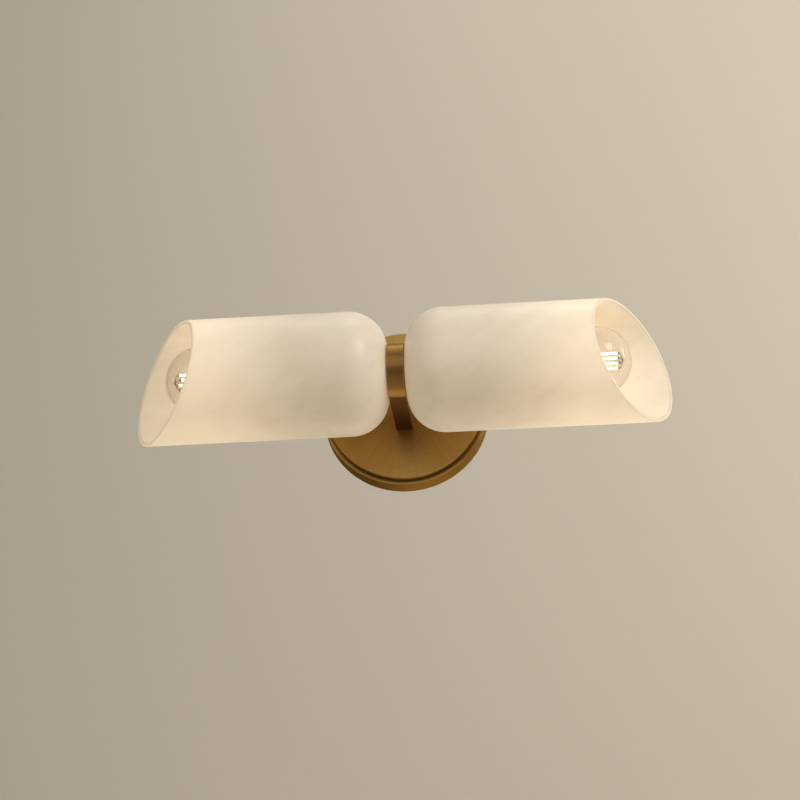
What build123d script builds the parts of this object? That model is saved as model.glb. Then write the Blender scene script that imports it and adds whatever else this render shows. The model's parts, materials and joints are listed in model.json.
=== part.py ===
from build123d import *
import os
from math import atan2, cos, degrees, pi, radians, sin, sqrt

os.makedirs("parts", exist_ok=True)

# A double arm wall sconce. Millimetres. The wall is the plane Y = 0 and the room is at
# -Y, +Z is up, and X runs along the two shades. The origin is the middle of the
# crossbar's back, between its two wall slots.

# ---- Canopy: a stepped shell, a flange against the wall and a raised disc on it ------
CANOPY_R = 63.5             # outer radius of the flange (a 5 inch canopy)
FLANGE_DEPTH = 14.6         # wall to the flange's front
STEP_WIDTH = 3.1            # ring of flange that shows round the raised disc
FACE_DEPTH = 20.4           # wall to the disc's face
SHELL_T = 1.6               # thickness of the shell
DISC_BEVEL = 0.4            # bevel at the disc's edge
FLANGE_BEVEL = 0.6          # bevel at the flange's edge

# ---- Crossbar -----------------------------------------------------------------------
SLOT_SPACING = 88.9         # wall box screws, centre to centre
SLOT_LENGTH = 14.0          # end to end
SLOT_R = 2.4                # half the slot's width
STRAP_T = 1.6
STRAP_W = 20.0
EAR_GAP = 1.4               # between an ear and the shell's inner wall
EAR_HEIGHT = 12.0           # how far an ear stands out from the wall
EAR_BEND_R = 2.4            # outer radius of the bends
STRAP_CENTRE_R = 5.2        # hole in the middle of the strap

# ---- Arm: a flat bar on edge, with a full half-round end ----------------------------
ARM_WIDTH = 13.0
ARM_R = 20.9                # half the bar's height, and the radius of its end
AXIS_REACH = 79.0           # wall to the shades' axis
ARM_EDGE_R = 0.5            # softened long edges
ARM_BORE_R = 4.0            # bore for the leads, from the back to the cross tube

# ---- Cross tube, the threaded tube that carries both sides --------------------------
TUBE_R = 5.0
TUBE_BORE_R = 3.5
TUBE_END = 62.5             # the tube's end, measured from the middle plane
TUBE_SLOT_LENGTH = 11.0     # opening in its wall side, for the leads
TUBE_SLOT_WIDTH = 6.8
TUBE_SLOT_CORNER_R = 1.0
TUBE_FIT = 0.1              # radial clearance of what slides on the tube

# ---- Shades: glass cylinders with a rounded closed end and a slanted mouth ----------
SHADE_R = 46.4
GLASS_T = 3.0
END_CORNER_R = 28.3         # outer radius of the rounded end
MOUTH_X = 174.5             # where the mouth's plane crosses the axis
MOUTH_SLANT = 32.0          # degrees between the mouth's plane and a square cut
MOUTH_TURN = 12.0           # degrees the mouth is turned up from straight forward
RIM_R = 1.0                 # softened rim edges
SHADE_FIT = 0.3             # radial clearance of the glass on the tube

# ---- Clamp stack on the tube, from the arm outwards ---------------------------------
OUTER_GASKET_T = 0.5
INNER_GASKET_T = 1.0
GASKET_R = 12.0
WASHER_T = 1.5
WASHER_R = 13.0
RING_NUT_T = 4.0
NUT_FLATS = 14.3            # across the flats of every nut on the tube
RING_NUT_FLANGE_R = 10.5    # round flange of the nut that clamps the glass
RING_NUT_FLANGE_T = 1.2
STEM_NUT_T = 3.0

# ---- Socket cup and lampholder ------------------------------------------------------
CUP_BACK = 56.0             # middle plane to the cup's closed end
CUP_MOUTH = 112.0
CUP_R = 14.0
CUP_T = 1.0
CUP_CORNER_R = 4.0
CUP_LIP = 0.6               # small rolled lip at the cup's mouth
CUP_LIP_LENGTH = 2.0
BRACKET_T = 1.2
BRACKET_W = 8.0
BRACKET_EYE_R = 8.5         # round eye on the tube, wider than the strap
BRACKET_BEND_R = 2.4        # outer radius of its bends
BRACKET_LEG_END = 92.0
HOLDER_BACK = 74.0
HOLDER_FRONT = 110.5
HOLDER_R = 10.5
HOLDER_FLAT = 10.0          # distance of the two side flats from the axis
HOLDER_FLOOR = 97.0         # floor of the well that takes the screw shell
HOLDER_EDGE_R = 0.8
SCREW_SHELL_T = 0.5
SHELL_FIT = 0.1             # radial clearance of the screw shell in its well
SHELL_LENGTH = 12.5
SHELL_BASE_HOLE_R = 4.0     # hole in the shell's base, round the centre contact
CONTACT_R = 3.0
CONTACT_T = 1.0
RIVET_R = 1.2
RIVET_HEAD_R = 2.0
RIVET_HEAD_T = 1.0
RIVET_FIT = 0.1
NEUTRAL_OFFSET = 5.0        # height of the neutral rivet above the axis
HOLDER_SCREW_X = 84.0
HOLDER_SCREW_R = 1.2
HOLDER_SCREW_HEAD_R = 2.0
HOLDER_SCREW_HEAD_T = 0.9
HOLDER_SCREW_DEPTH = 3.0

# ---- Bulbs: clear globes on a candelabra cap ----------------------------------------
GLOBE_R = 26.0
GLOBE_X = 147.0
GLOBE_WALL = 0.8
NECK_R = 6.2
NECK_BLEND_R = 8.0          # blend between the neck and the globe
CAP_THREAD_R = 5.9
CAP_T = 0.4
CAP_THREAD_LENGTH = 10.0
CAP_SKIRT_LENGTH = 4.0
CAP_FLARE = 0.8             # length of the slope from thread to skirt
CAP_EDGE = 0.5              # bevel at the thread's inner end
CEMENT_GAP = 0.3            # between the neck and the cap's skirt
THREAD_GAP = 0.3            # radial, between cap and screw shell
INSULATOR_T = 1.6
INSULATOR_TIP_R = 2.6
INSULATOR_RIM_R = 5.0
INSULATOR_PLUG = 1.0        # depth of its plug in the cap's hole
INSULATOR_FIT = 0.1
CAP_HOLE_R = 4.2
FOOT_T = 1.4
FOOT_TIP_R = 1.6
FOOT_RIM_R = 2.2
STEM_FLARE_T = 1.0
STEM_FOOT_R = 4.2
STEM_TOP_R = 2.2
STEM_ROD_R = 1.0
STEM_ROD_END = 1.0          # how far the rod passes the outer spider
FILAMENT_COUNT = 4
FILAMENT_R = 0.8
FILAMENT_LENGTH = 27.0
FILAMENT_LEAD = 2.7         # how far the filaments' middle lies past the globe's centre
FILAMENT_CIRCLE_R = 5.8
FILAMENT_PHASE = 45.0       # turn of the first filament about the axis, degrees
SPIDER_T = 0.6
SPIDER_W = 0.8
SPIDER_HUB_R = 1.8
SPIDER_FIT = 0.1
TAB_LENGTH = 2.6            # metal tab between a spider's arm and the filament
TAB_W = 0.9

# ---- Fixings inside the canopy ------------------------------------------------------
PLATE_T = 2.5
PLATE_W = 18.0
PLATE_H = 42.0
PLATE_CORNER_R = 4.0
ARM_SCREW_OFFSET = 14.0     # the arm screws' height above and below the axis
ARM_SCREW_R = 2.0
ARM_SCREW_DEPTH = 12.0      # how far they go into the arm
ARM_SCREW_HEAD_R = 3.6
ARM_SCREW_HEAD_T = 2.6
SCREW_FIT = 0.1             # radial clearance round screw shanks
SCREW_END_GAP = 1.0         # left at the bottom of a blind hole
EYELET_T = 0.8
EYELET_R = 3.4
BUSHING_R = 5.0
BUSHING_WALL = 1.0
BUSHING_FIT = 0.1
BUSHING_FLANGE_R = 7.0
BUSHING_FLANGE_T = 1.0
SIDE_SCREW_R = 1.6
SIDE_SCREW_HEAD_R = 3.5
SIDE_SCREW_HEAD_T = 2.0
SIDE_SCREW_PAST_EAR = 2.0
GROUND_SCREW_X = 24.0
GROUND_SCREW_R = 2.0
GROUND_SCREW_HEAD_R = 3.6
GROUND_SCREW_HEAD_T = 2.0
GROUND_EYELET_DROP = 6.0    # from a ground eyelet's hole to the end of its barrel
BARREL_R = 1.5

# ---- Leads and connectors -----------------------------------------------------------
LEAD_R = 0.9
LEAD_PAIR_OFFSET = 2.2      # height of the neutral lead above the hot one
LEAD_SIDE_OFFSET = 1.3      # from the middle plane to a lead in the arm's bore
LEAD_SPACING = 2.0          # between the two leads that share a connector
LEAD_ARM_BEND_R = 7.0       # bend from the tube into the arm's bore
LEAD_CANOPY_BEND_R = 6.0    # bends inside the canopy
LEAD_HOLDER_BEND_R = 7.0    # small bends behind the lampholder
LEAD_TERMINAL_RUN = 3.5     # straight end at the rivet
LEAD_SHIFT_RUN = 4.5        # length over which the neutral lead climbs to its rivet
GROUND_BEND_SHARE = 0.45    # a bend's radius, as a share of the shorter of its two runs
GROUND_LOOP_DROP = 11.8     # how far the ground lead hangs below its upper end
CONNECTOR_X = 22.0
CONNECTOR_DEPTH = 9.5       # wall to the connectors' axis
CONNECTOR_MOUTH_Z = 16.0
CONNECTOR_LENGTH = 22.0
CONNECTOR_MOUTH_R = 5.6
CONNECTOR_TIP_R = 3.6
CONNECTOR_WELL_R = 3.9
CONNECTOR_WELL_DEPTH = 9.0
CONNECTOR_EDGE_R = 1.0
CONNECTOR_RIBS = 10
CONNECTOR_RIB = 0.5

# ---- Worked out from the sizes above ------------------------------------------------
ARM_FACE = ARM_WIDTH / 2
GLASS_END = ARM_FACE + OUTER_GASKET_T
GLASS_INSIDE = GLASS_END + GLASS_T
WASHER_X = GLASS_INSIDE + INNER_GASKET_T
RING_NUT_X = WASHER_X + WASHER_T
CUP_FLOOR = CUP_BACK + CUP_T
INNER_NUT_X = CUP_FLOOR + BRACKET_T
SHELL_INNER_R = CAP_THREAD_R + THREAD_GAP
SHELL_OUTER_R = SHELL_INNER_R + SCREW_SHELL_T
CONTACT_X = HOLDER_FLOOR + CONTACT_T
FOOT_BACK = CONTACT_X + FOOT_T
CAP_X = FOOT_BACK + INSULATOR_T
SKIRT_X = CAP_X + CAP_THREAD_LENGTH + CAP_FLARE
SKIRT_END = SKIRT_X + CAP_SKIRT_LENGTH
SKIRT_INNER_R = NECK_R + CEMENT_GAP
NECK_END = SKIRT_X + CEMENT_GAP + STEM_FLARE_T
RIVET_BACK = HOLDER_BACK - RIVET_HEAD_T
PLATE_FRONT = FACE_DEPTH - SHELL_T
PLATE_BACK = PLATE_FRONT - PLATE_T
DISC_R = CANOPY_R - STEP_WIDTH
EAR_X = CANOPY_R - SHELL_T - EAR_GAP
SIDE_SCREW_DEPTH = FLANGE_DEPTH / 2
FILAMENT_X = GLOBE_X + FILAMENT_LEAD - FILAMENT_LENGTH / 2
FILAMENT_END = FILAMENT_X + FILAMENT_LENGTH
STEM_TOP_X = FILAMENT_X - TAB_LENGTH - SPIDER_T
OUTER_SPIDER_X = FILAMENT_END + TAB_LENGTH
WELL_R = SHELL_OUTER_R + SHELL_FIT

SIDES = {"left": -1, "right": 1}
SHADE_AXIS = Axis((0, -AXIS_REACH, 0), (1, 0, 0))


def write(piece, name):
    """Label a finished piece and write it as its own file."""
    piece.part.label = name
    export_step(piece.part, f"parts/{name}.step")


def lengthwise(side):
    """Plane through the shade axis: local x runs outwards, local y is the radius."""
    return Plane(origin=(0, -AXIS_REACH, 0), x_dir=(side, 0, 0), z_dir=(0, -side, 0))


def across(side, x, y=-AXIS_REACH, z=0.0):
    """Plane square to the shade axis at a distance from the middle, facing outwards."""
    return Plane(origin=(side * x, y, z), x_dir=(0, side, 0), z_dir=(side, 0, 0))


def from_wall(depth, x=0.0, z=0.0):
    """Plane parallel to the wall at a depth, facing the room, local y up."""
    return Plane(origin=(x, -depth, z), x_dir=(1, 0, 0), z_dir=(0, -1, 0))


def start_of(route):
    """Plane square to a route at its start."""
    return Plane(origin=route.line @ 0, z_dir=route.line % 0)


# ---- Wall crossbar: a strap with slots and two ears bent towards the room -----------
with BuildPart() as wall_crossbar:
    with BuildSketch(Plane.XY.offset(-STRAP_W / 2)) as strap_outline:
        with Locations((0, -STRAP_T / 2)):
            Rectangle(2 * EAR_X, STRAP_T)
        for side in SIDES.values():
            with Locations((side * (EAR_X - STRAP_T / 2), -EAR_HEIGHT / 2)):
                Rectangle(STRAP_T, EAR_HEIGHT)
        outer_corners = strap_outline.vertices().group_by(Axis.Y)[-1]
        fillet(outer_corners, EAR_BEND_R)
    extrude(amount=STRAP_W)
    with BuildSketch(from_wall(0)):
        for side in SIDES.values():
            with Locations((side * SLOT_SPACING / 2, 0)):
                SlotOverall(SLOT_LENGTH, 2 * SLOT_R)
        Circle(STRAP_CENTRE_R)
        with Locations((GROUND_SCREW_X, 0)):
            Circle(GROUND_SCREW_R + SCREW_FIT)
    extrude(amount=STRAP_T, mode=Mode.SUBTRACT)
    with BuildSketch(across(1, -EAR_X, -SIDE_SCREW_DEPTH)):
        Circle(SIDE_SCREW_R + SCREW_FIT)
    extrude(amount=2 * EAR_X, mode=Mode.SUBTRACT)
write(wall_crossbar, "wall_crossbar")

# ---- Ground screw, with its head on the eyelet --------------------------------------
with BuildPart() as ground_screw:
    with BuildSketch(from_wall(0, GROUND_SCREW_X)):
        Circle(GROUND_SCREW_R)
    extrude(amount=STRAP_T + EYELET_T)
    with BuildSketch(from_wall(STRAP_T + EYELET_T, GROUND_SCREW_X)):
        Circle(GROUND_SCREW_HEAD_R)
    extrude(amount=GROUND_SCREW_HEAD_T)
    fillet(ground_screw.edges().group_by(Axis.Y)[0], GROUND_SCREW_HEAD_T / 3)
write(ground_screw, "ground_screw")

# ---- Canopy shell, turned about the line out of the wall ----------------------------
with BuildPart() as canopy:
    with BuildSketch(Plane.YZ):
        with BuildLine():
            Polyline(
                (0, CANOPY_R - SHELL_T),
                (0, CANOPY_R),
                (-FLANGE_DEPTH + FLANGE_BEVEL, CANOPY_R),
                (-FLANGE_DEPTH, CANOPY_R - FLANGE_BEVEL),
                (-FLANGE_DEPTH, DISC_R),
                (-FACE_DEPTH + DISC_BEVEL, DISC_R),
                (-FACE_DEPTH, DISC_R - DISC_BEVEL),
                (-FACE_DEPTH, 0),
                (-PLATE_FRONT, 0),
                (-PLATE_FRONT, DISC_R - SHELL_T),
                (-FLANGE_DEPTH + SHELL_T, DISC_R - SHELL_T),
                (-FLANGE_DEPTH + SHELL_T, CANOPY_R - SHELL_T),
                close=True,
            )
        make_face()
    revolve(axis=Axis.Y)
    with BuildSketch(from_wall(PLATE_FRONT)):
        Circle(BUSHING_R)
        for end in (-1, 1):
            with Locations((0, end * ARM_SCREW_OFFSET)):
                Circle(ARM_SCREW_R + SCREW_FIT)
    extrude(amount=SHELL_T, mode=Mode.SUBTRACT)
    with BuildSketch(across(1, -CANOPY_R, -SIDE_SCREW_DEPTH)):
        Circle(SIDE_SCREW_R + SCREW_FIT)
    extrude(amount=2 * CANOPY_R, mode=Mode.SUBTRACT)
write(canopy, "canopy")

# ---- Screws through the canopy's rim into the ears, hidden behind the shades --------
with BuildPart() as canopy_side_screws:
    for side in SIDES.values():
        with BuildSketch(across(side, EAR_X - STRAP_T - SIDE_SCREW_PAST_EAR, -SIDE_SCREW_DEPTH)):
            Circle(SIDE_SCREW_R)
        extrude(amount=CANOPY_R - EAR_X + STRAP_T + SIDE_SCREW_PAST_EAR)
        with BuildSketch(across(side, CANOPY_R, -SIDE_SCREW_DEPTH)):
            Circle(SIDE_SCREW_HEAD_R)
        extrude(amount=SIDE_SCREW_HEAD_T)
    for end in (0, -1):
        rim = canopy_side_screws.edges().group_by(Axis.X)[end]
        fillet(rim, SIDE_SCREW_HEAD_T / 2)
write(canopy_side_screws, "canopy_side_screws")

# ---- Backing plate inside the canopy's face -----------------------------------------
with BuildPart() as backing_plate:
    with BuildSketch(from_wall(PLATE_BACK)):
        RectangleRounded(PLATE_W, PLATE_H, PLATE_CORNER_R)
        Circle(BUSHING_R, mode=Mode.SUBTRACT)
        for end in (-1, 1):
            with Locations((0, end * ARM_SCREW_OFFSET)):
                Circle(ARM_SCREW_R + SCREW_FIT, mode=Mode.SUBTRACT)
    extrude(amount=PLATE_T)
write(backing_plate, "backing_plate")

# ---- Arm screws from inside the canopy into the arm's back --------------------------
with BuildPart() as arm_screws:
    for end in (-1, 1):
        height = end * ARM_SCREW_OFFSET
        with BuildSketch(from_wall(PLATE_BACK - EYELET_T, 0, height)):
            Circle(ARM_SCREW_R)
        extrude(amount=FACE_DEPTH - PLATE_BACK + EYELET_T + ARM_SCREW_DEPTH)
        with BuildSketch(from_wall(PLATE_BACK - EYELET_T - ARM_SCREW_HEAD_T, 0, height)):
            Circle(ARM_SCREW_HEAD_R)
        extrude(amount=ARM_SCREW_HEAD_T)
    fillet(arm_screws.edges().group_by(Axis.Y)[-1], ARM_SCREW_HEAD_T / 3)
write(arm_screws, "arm_screws")

# ---- Lock washer under the upper arm screw ------------------------------------------
with BuildPart() as lock_washer:
    with BuildSketch(from_wall(PLATE_BACK - EYELET_T, 0, ARM_SCREW_OFFSET)):
        Circle(EYELET_R)
        Circle(ARM_SCREW_R + SCREW_FIT, mode=Mode.SUBTRACT)
    extrude(amount=EYELET_T)
write(lock_washer, "lock_washer")

# ---- Ground eyelets: a ring under a screw head, with a barrel for the lead ----------
with BuildPart() as ground_eyelets:
    for x, depth, z in (
        (GROUND_SCREW_X, STRAP_T, 0.0),
        (0.0, PLATE_BACK - EYELET_T, -ARM_SCREW_OFFSET),
    ):
        with BuildSketch(from_wall(depth, x, z)):
            Circle(EYELET_R)
            with Locations((0, -GROUND_EYELET_DROP / 2)):
                Rectangle(2 * BARREL_R, GROUND_EYELET_DROP)
            Circle(GROUND_SCREW_R + SCREW_FIT, mode=Mode.SUBTRACT)
        extrude(amount=EYELET_T)
write(ground_eyelets, "ground_eyelets")

# ---- Ground lead between the two eyelets, a loop that hangs in the canopy -----------
ground_low = -ARM_SCREW_OFFSET - GROUND_EYELET_DROP - GROUND_LOOP_DROP
plate_lug_depth = PLATE_BACK - EYELET_T / 2 - LEAD_R
strap_lug_depth = STRAP_T + EYELET_T / 2 + LEAD_R
ground_points = [
    Vector(0, -plate_lug_depth, -ARM_SCREW_OFFSET - GROUND_EYELET_DROP),
    Vector(0, -plate_lug_depth, ground_low),
    Vector(GROUND_SCREW_X, -strap_lug_depth, ground_low),
    Vector(GROUND_SCREW_X, -strap_lug_depth, -GROUND_EYELET_DROP),
]
ground_runs = [(end - start).length for start, end in zip(ground_points, ground_points[1:])]
ground_radii = [GROUND_BEND_SHARE * min(pair) for pair in zip(ground_runs, ground_runs[1:])]
with BuildPart() as ground_lead:
    with BuildLine() as ground_route:
        FilletPolyline(*ground_points, radius=ground_radii)
    with BuildSketch(start_of(ground_route)):
        Circle(LEAD_R)
    sweep(path=ground_route.line)
ground_length = sum(edge.length for edge in ground_route.edges())
print("ground lead radii", [round(r, 2) for r in ground_radii], "length", round(ground_length, 1))
write(ground_lead, "ground_lead")

# ---- Bushing that keeps the leads off the sheet edges -------------------------------
with BuildPart() as wire_bushing:
    with BuildSketch(from_wall(PLATE_BACK)):
        Circle(BUSHING_R - BUSHING_FIT)
    extrude(amount=FACE_DEPTH - PLATE_BACK)
    with BuildSketch(from_wall(PLATE_BACK - BUSHING_FLANGE_T)):
        Circle(BUSHING_FLANGE_R)
    extrude(amount=BUSHING_FLANGE_T)
    with BuildSketch(from_wall(PLATE_BACK - BUSHING_FLANGE_T)):
        Circle(BUSHING_R - BUSHING_FIT - BUSHING_WALL)
    extrude(amount=FACE_DEPTH - PLATE_BACK + BUSHING_FLANGE_T, mode=Mode.SUBTRACT)
write(wire_bushing, "wire_bushing")

# ---- Arm ----------------------------------------------------------------------------
with BuildPart() as arm:
    with BuildSketch(Plane.YZ):
        with Locations((-(AXIS_REACH + FACE_DEPTH) / 2, 0)):
            Rectangle(AXIS_REACH - FACE_DEPTH, 2 * ARM_R)
        with Locations((-AXIS_REACH, 0)):
            Circle(ARM_R)
    extrude(amount=ARM_FACE, both=True)
    for end in (0, -1):
        outline = arm.faces().sort_by(Axis.X)[end].edges()
        fillet(outline.sort_by(Axis.Y)[:-1], ARM_EDGE_R)
    with BuildSketch(across(1, -ARM_FACE)):
        Circle(TUBE_R + TUBE_FIT)
    extrude(amount=ARM_WIDTH, mode=Mode.SUBTRACT)
    with BuildSketch(from_wall(FACE_DEPTH)):
        Circle(ARM_BORE_R)
    extrude(amount=AXIS_REACH - FACE_DEPTH, mode=Mode.SUBTRACT)
    with BuildSketch(from_wall(FACE_DEPTH)):
        for end in (-1, 1):
            with Locations((0, end * ARM_SCREW_OFFSET)):
                Circle(ARM_SCREW_R + SCREW_FIT)
    extrude(amount=ARM_SCREW_DEPTH + SCREW_END_GAP, mode=Mode.SUBTRACT)
write(arm, "arm")

# ---- Cross tube, open on its wall side where the leads leave it ---------------------
with BuildPart() as cross_tube:
    with BuildSketch(across(1, -TUBE_END)):
        Circle(TUBE_R)
        Circle(TUBE_BORE_R, mode=Mode.SUBTRACT)
    extrude(amount=2 * TUBE_END)
    with BuildSketch(from_wall(AXIS_REACH - TUBE_R)):
        RectangleRounded(TUBE_SLOT_LENGTH, TUBE_SLOT_WIDTH, TUBE_SLOT_CORNER_R)
    extrude(amount=TUBE_R, mode=Mode.SUBTRACT)
write(cross_tube, "cross_tube")

# ---- Wire connectors: ribbed caps, open at the bottom where the leads go in ---------
with BuildPart() as wire_connectors:
    for side in SIDES.values():
        middle = (side * CONNECTOR_X, -CONNECTOR_DEPTH)
        with BuildSketch(Plane.XY.offset(CONNECTOR_MOUTH_Z)):
            with Locations(middle):
                Circle(CONNECTOR_MOUTH_R)
        with BuildSketch(Plane.XY.offset(CONNECTOR_MOUTH_Z + CONNECTOR_LENGTH)):
            with Locations(middle):
                Circle(CONNECTOR_TIP_R)
        loft()
        with BuildSketch(Plane.XY.offset(CONNECTOR_MOUTH_Z + CONNECTOR_WELL_DEPTH)):
            with Locations(middle):
                with PolarLocations(CONNECTOR_TIP_R, CONNECTOR_RIBS):
                    Circle(CONNECTOR_RIB)
        extrude(amount=CONNECTOR_LENGTH - CONNECTOR_WELL_DEPTH - CONNECTOR_EDGE_R)
        with BuildSketch(Plane.XY.offset(CONNECTOR_MOUTH_Z)):
            with Locations(middle):
                Circle(CONNECTOR_WELL_R)
        extrude(amount=CONNECTOR_WELL_DEPTH, mode=Mode.SUBTRACT)
    fillet(wire_connectors.edges().group_by(Axis.Z)[-1], CONNECTOR_EDGE_R)
write(wire_connectors, "wire_connectors")

# ---- Everything that is made once for each side -------------------------------------
for side_name, side in SIDES.items():
    axis_line = lengthwise(side)

    # Clamp stack: gasket, glass, gasket, washer and flanged nut
    with BuildPart() as outer_gasket:
        with BuildSketch(across(side, ARM_FACE)):
            Circle(GASKET_R)
            Circle(TUBE_R + TUBE_FIT, mode=Mode.SUBTRACT)
        extrude(amount=OUTER_GASKET_T)
    write(outer_gasket, f"outer_gasket_{side_name}")

    # The glass is turned as a long closed-end tube, then its mouth is cut on the slant
    slant, turn = radians(MOUTH_SLANT), radians(MOUTH_TURN)
    mouth = Plane(
        origin=(side * MOUTH_X, -AXIS_REACH, 0),
        z_dir=(side * cos(slant), -sin(slant) * cos(turn), sin(slant) * sin(turn)),
    )
    corner = (GLASS_END + END_CORNER_R, SHADE_R - END_CORNER_R)
    inner_corner_r = END_CORNER_R - GLASS_T
    blank_end = MOUTH_X + 2 * SHADE_R
    hole_r = TUBE_R + SHADE_FIT
    with BuildPart() as shade:
        with BuildSketch(axis_line):
            with BuildLine():
                Line((GLASS_END, hole_r), (GLASS_END, corner[1]))
                CenterArc(corner, END_CORNER_R, 90, 90)
                Line((corner[0], SHADE_R), (blank_end, SHADE_R))
                Line((blank_end, SHADE_R), (blank_end, SHADE_R - GLASS_T))
                Line((blank_end, SHADE_R - GLASS_T), (corner[0], SHADE_R - GLASS_T))
                CenterArc(corner, inner_corner_r, 90, 90)
                Line((GLASS_INSIDE, corner[1]), (GLASS_INSIDE, hole_r))
                Line((GLASS_INSIDE, hole_r), (GLASS_END, hole_r))
            make_face()
        revolve(axis=SHADE_AXIS)
        split(bisect_by=mouth, keep=Keep.BOTTOM)
        rim = shade.edges().filter_by(GeomType.ELLIPSE)
        fillet(rim, RIM_R)
    write(shade, f"shade_{side_name}")

    with BuildPart() as inner_gasket:
        with BuildSketch(across(side, GLASS_INSIDE)):
            Circle(GASKET_R)
            Circle(TUBE_R + TUBE_FIT, mode=Mode.SUBTRACT)
        extrude(amount=INNER_GASKET_T)
    write(inner_gasket, f"inner_gasket_{side_name}")

    with BuildPart() as glass_washer:
        with BuildSketch(across(side, WASHER_X)):
            Circle(WASHER_R)
            Circle(TUBE_R + TUBE_FIT, mode=Mode.SUBTRACT)
        extrude(amount=WASHER_T)
        outer_edges = glass_washer.edges().filter_by(GeomType.CIRCLE).sort_by(SortBy.RADIUS)[-2:]
        chamfer(outer_edges, WASHER_T / 4)
    write(glass_washer, f"glass_washer_{side_name}")

    with BuildPart() as ring_nut:
        with BuildSketch(across(side, RING_NUT_X)):
            Circle(RING_NUT_FLANGE_R)
        extrude(amount=RING_NUT_FLANGE_T)
        with BuildSketch(across(side, RING_NUT_X)):
            RegularPolygon(NUT_FLATS / 2, 6, major_radius=False)
        extrude(amount=RING_NUT_T)
        with BuildSketch(across(side, RING_NUT_X)):
            Circle(TUBE_R + TUBE_FIT)
        extrude(amount=RING_NUT_T, mode=Mode.SUBTRACT)
    write(ring_nut, f"ring_nut_{side_name}")

    # Two thin nuts that hold the socket cup and the bracket on the tube
    with BuildPart() as stem_nuts:
        for x in (CUP_BACK - STEM_NUT_T, INNER_NUT_X):
            with BuildSketch(across(side, x)):
                RegularPolygon(NUT_FLATS / 2, 6, major_radius=False)
                Circle(TUBE_R + TUBE_FIT, mode=Mode.SUBTRACT)
            extrude(amount=STEM_NUT_T)
    write(stem_nuts, f"stem_nuts_{side_name}")

    # Socket cup, drawn from sheet, with a small rolled lip
    with BuildPart() as socket_cup:
        with BuildSketch(axis_line) as cup_profile:
            with BuildLine():
                Polyline(
                    (CUP_BACK, TUBE_R + TUBE_FIT),
                    (CUP_BACK, CUP_R),
                    (CUP_MOUTH - CUP_LIP_LENGTH, CUP_R),
                    (CUP_MOUTH - CUP_LIP_LENGTH / 2, CUP_R + CUP_LIP),
                    (CUP_MOUTH, CUP_R),
                    (CUP_MOUTH, CUP_R - CUP_T),
                    (CUP_FLOOR, CUP_R - CUP_T),
                    (CUP_FLOOR, TUBE_R + TUBE_FIT),
                    close=True,
                )
            make_face()
            outer_corner = cup_profile.vertices().sort_by_distance((CUP_BACK, CUP_R, 0))[0]
            fillet(outer_corner, CUP_CORNER_R)
            inner_corner = cup_profile.vertices().sort_by_distance((CUP_FLOOR, CUP_R - CUP_T, 0))[0]
            fillet(inner_corner, CUP_CORNER_R - CUP_T)
        revolve(axis=SHADE_AXIS)
    write(socket_cup, f"socket_cup_{side_name}")

    # Bracket: a strap bent to a U, its legs along the lampholder's flats
    strap_plane = Plane(
        origin=(0, -AXIS_REACH, -BRACKET_W / 2), x_dir=(side, 0, 0), z_dir=(0, 0, 1)
    )
    with BuildPart() as holder_bracket:
        with BuildSketch(strap_plane) as strap_bend:
            with Locations(((CUP_FLOOR + BRACKET_LEG_END) / 2, 0)):
                Rectangle(BRACKET_LEG_END - CUP_FLOOR, 2 * (HOLDER_FLAT + BRACKET_T))
            fillet(strap_bend.vertices().group_by(Axis.X)[0], BRACKET_BEND_R)
        extrude(amount=BRACKET_W)
        with BuildSketch(strap_plane) as strap_inside:
            with Locations(((CUP_FLOOR + BRACKET_LEG_END) / 2 + BRACKET_T, 0)):
                Rectangle(BRACKET_LEG_END - CUP_FLOOR, 2 * HOLDER_FLAT)
            fillet(strap_inside.vertices().group_by(Axis.X)[0], BRACKET_BEND_R - BRACKET_T)
        extrude(amount=BRACKET_W, mode=Mode.SUBTRACT)
        with BuildSketch(across(side, CUP_FLOOR)):
            Circle(BRACKET_EYE_R)
        extrude(amount=BRACKET_T)
        with BuildSketch(across(side, CUP_FLOOR)):
            Circle(TUBE_R + TUBE_FIT)
        extrude(amount=BRACKET_T, mode=Mode.SUBTRACT)
        with BuildSketch(from_wall(AXIS_REACH - HOLDER_R - BRACKET_T, side * HOLDER_SCREW_X)):
            Circle(HOLDER_SCREW_R + SCREW_FIT)
        extrude(amount=2 * (HOLDER_R + BRACKET_T), mode=Mode.SUBTRACT)
    write(holder_bracket, f"holder_bracket_{side_name}")

    # Screws through the bracket's legs into the lampholder
    with BuildPart() as holder_screws:
        for face in (-1, 1):
            seat = Plane(
                origin=(side * HOLDER_SCREW_X, -AXIS_REACH + face * (HOLDER_FLAT + BRACKET_T), 0),
                x_dir=(1, 0, 0),
                z_dir=(0, face, 0),
            )
            with BuildSketch(seat):
                Circle(HOLDER_SCREW_HEAD_R)
            extrude(amount=HOLDER_SCREW_HEAD_T)
            with BuildSketch(seat):
                Circle(HOLDER_SCREW_R)
            extrude(amount=-BRACKET_T - HOLDER_SCREW_DEPTH)
    write(holder_screws, f"holder_screws_{side_name}")

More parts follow.
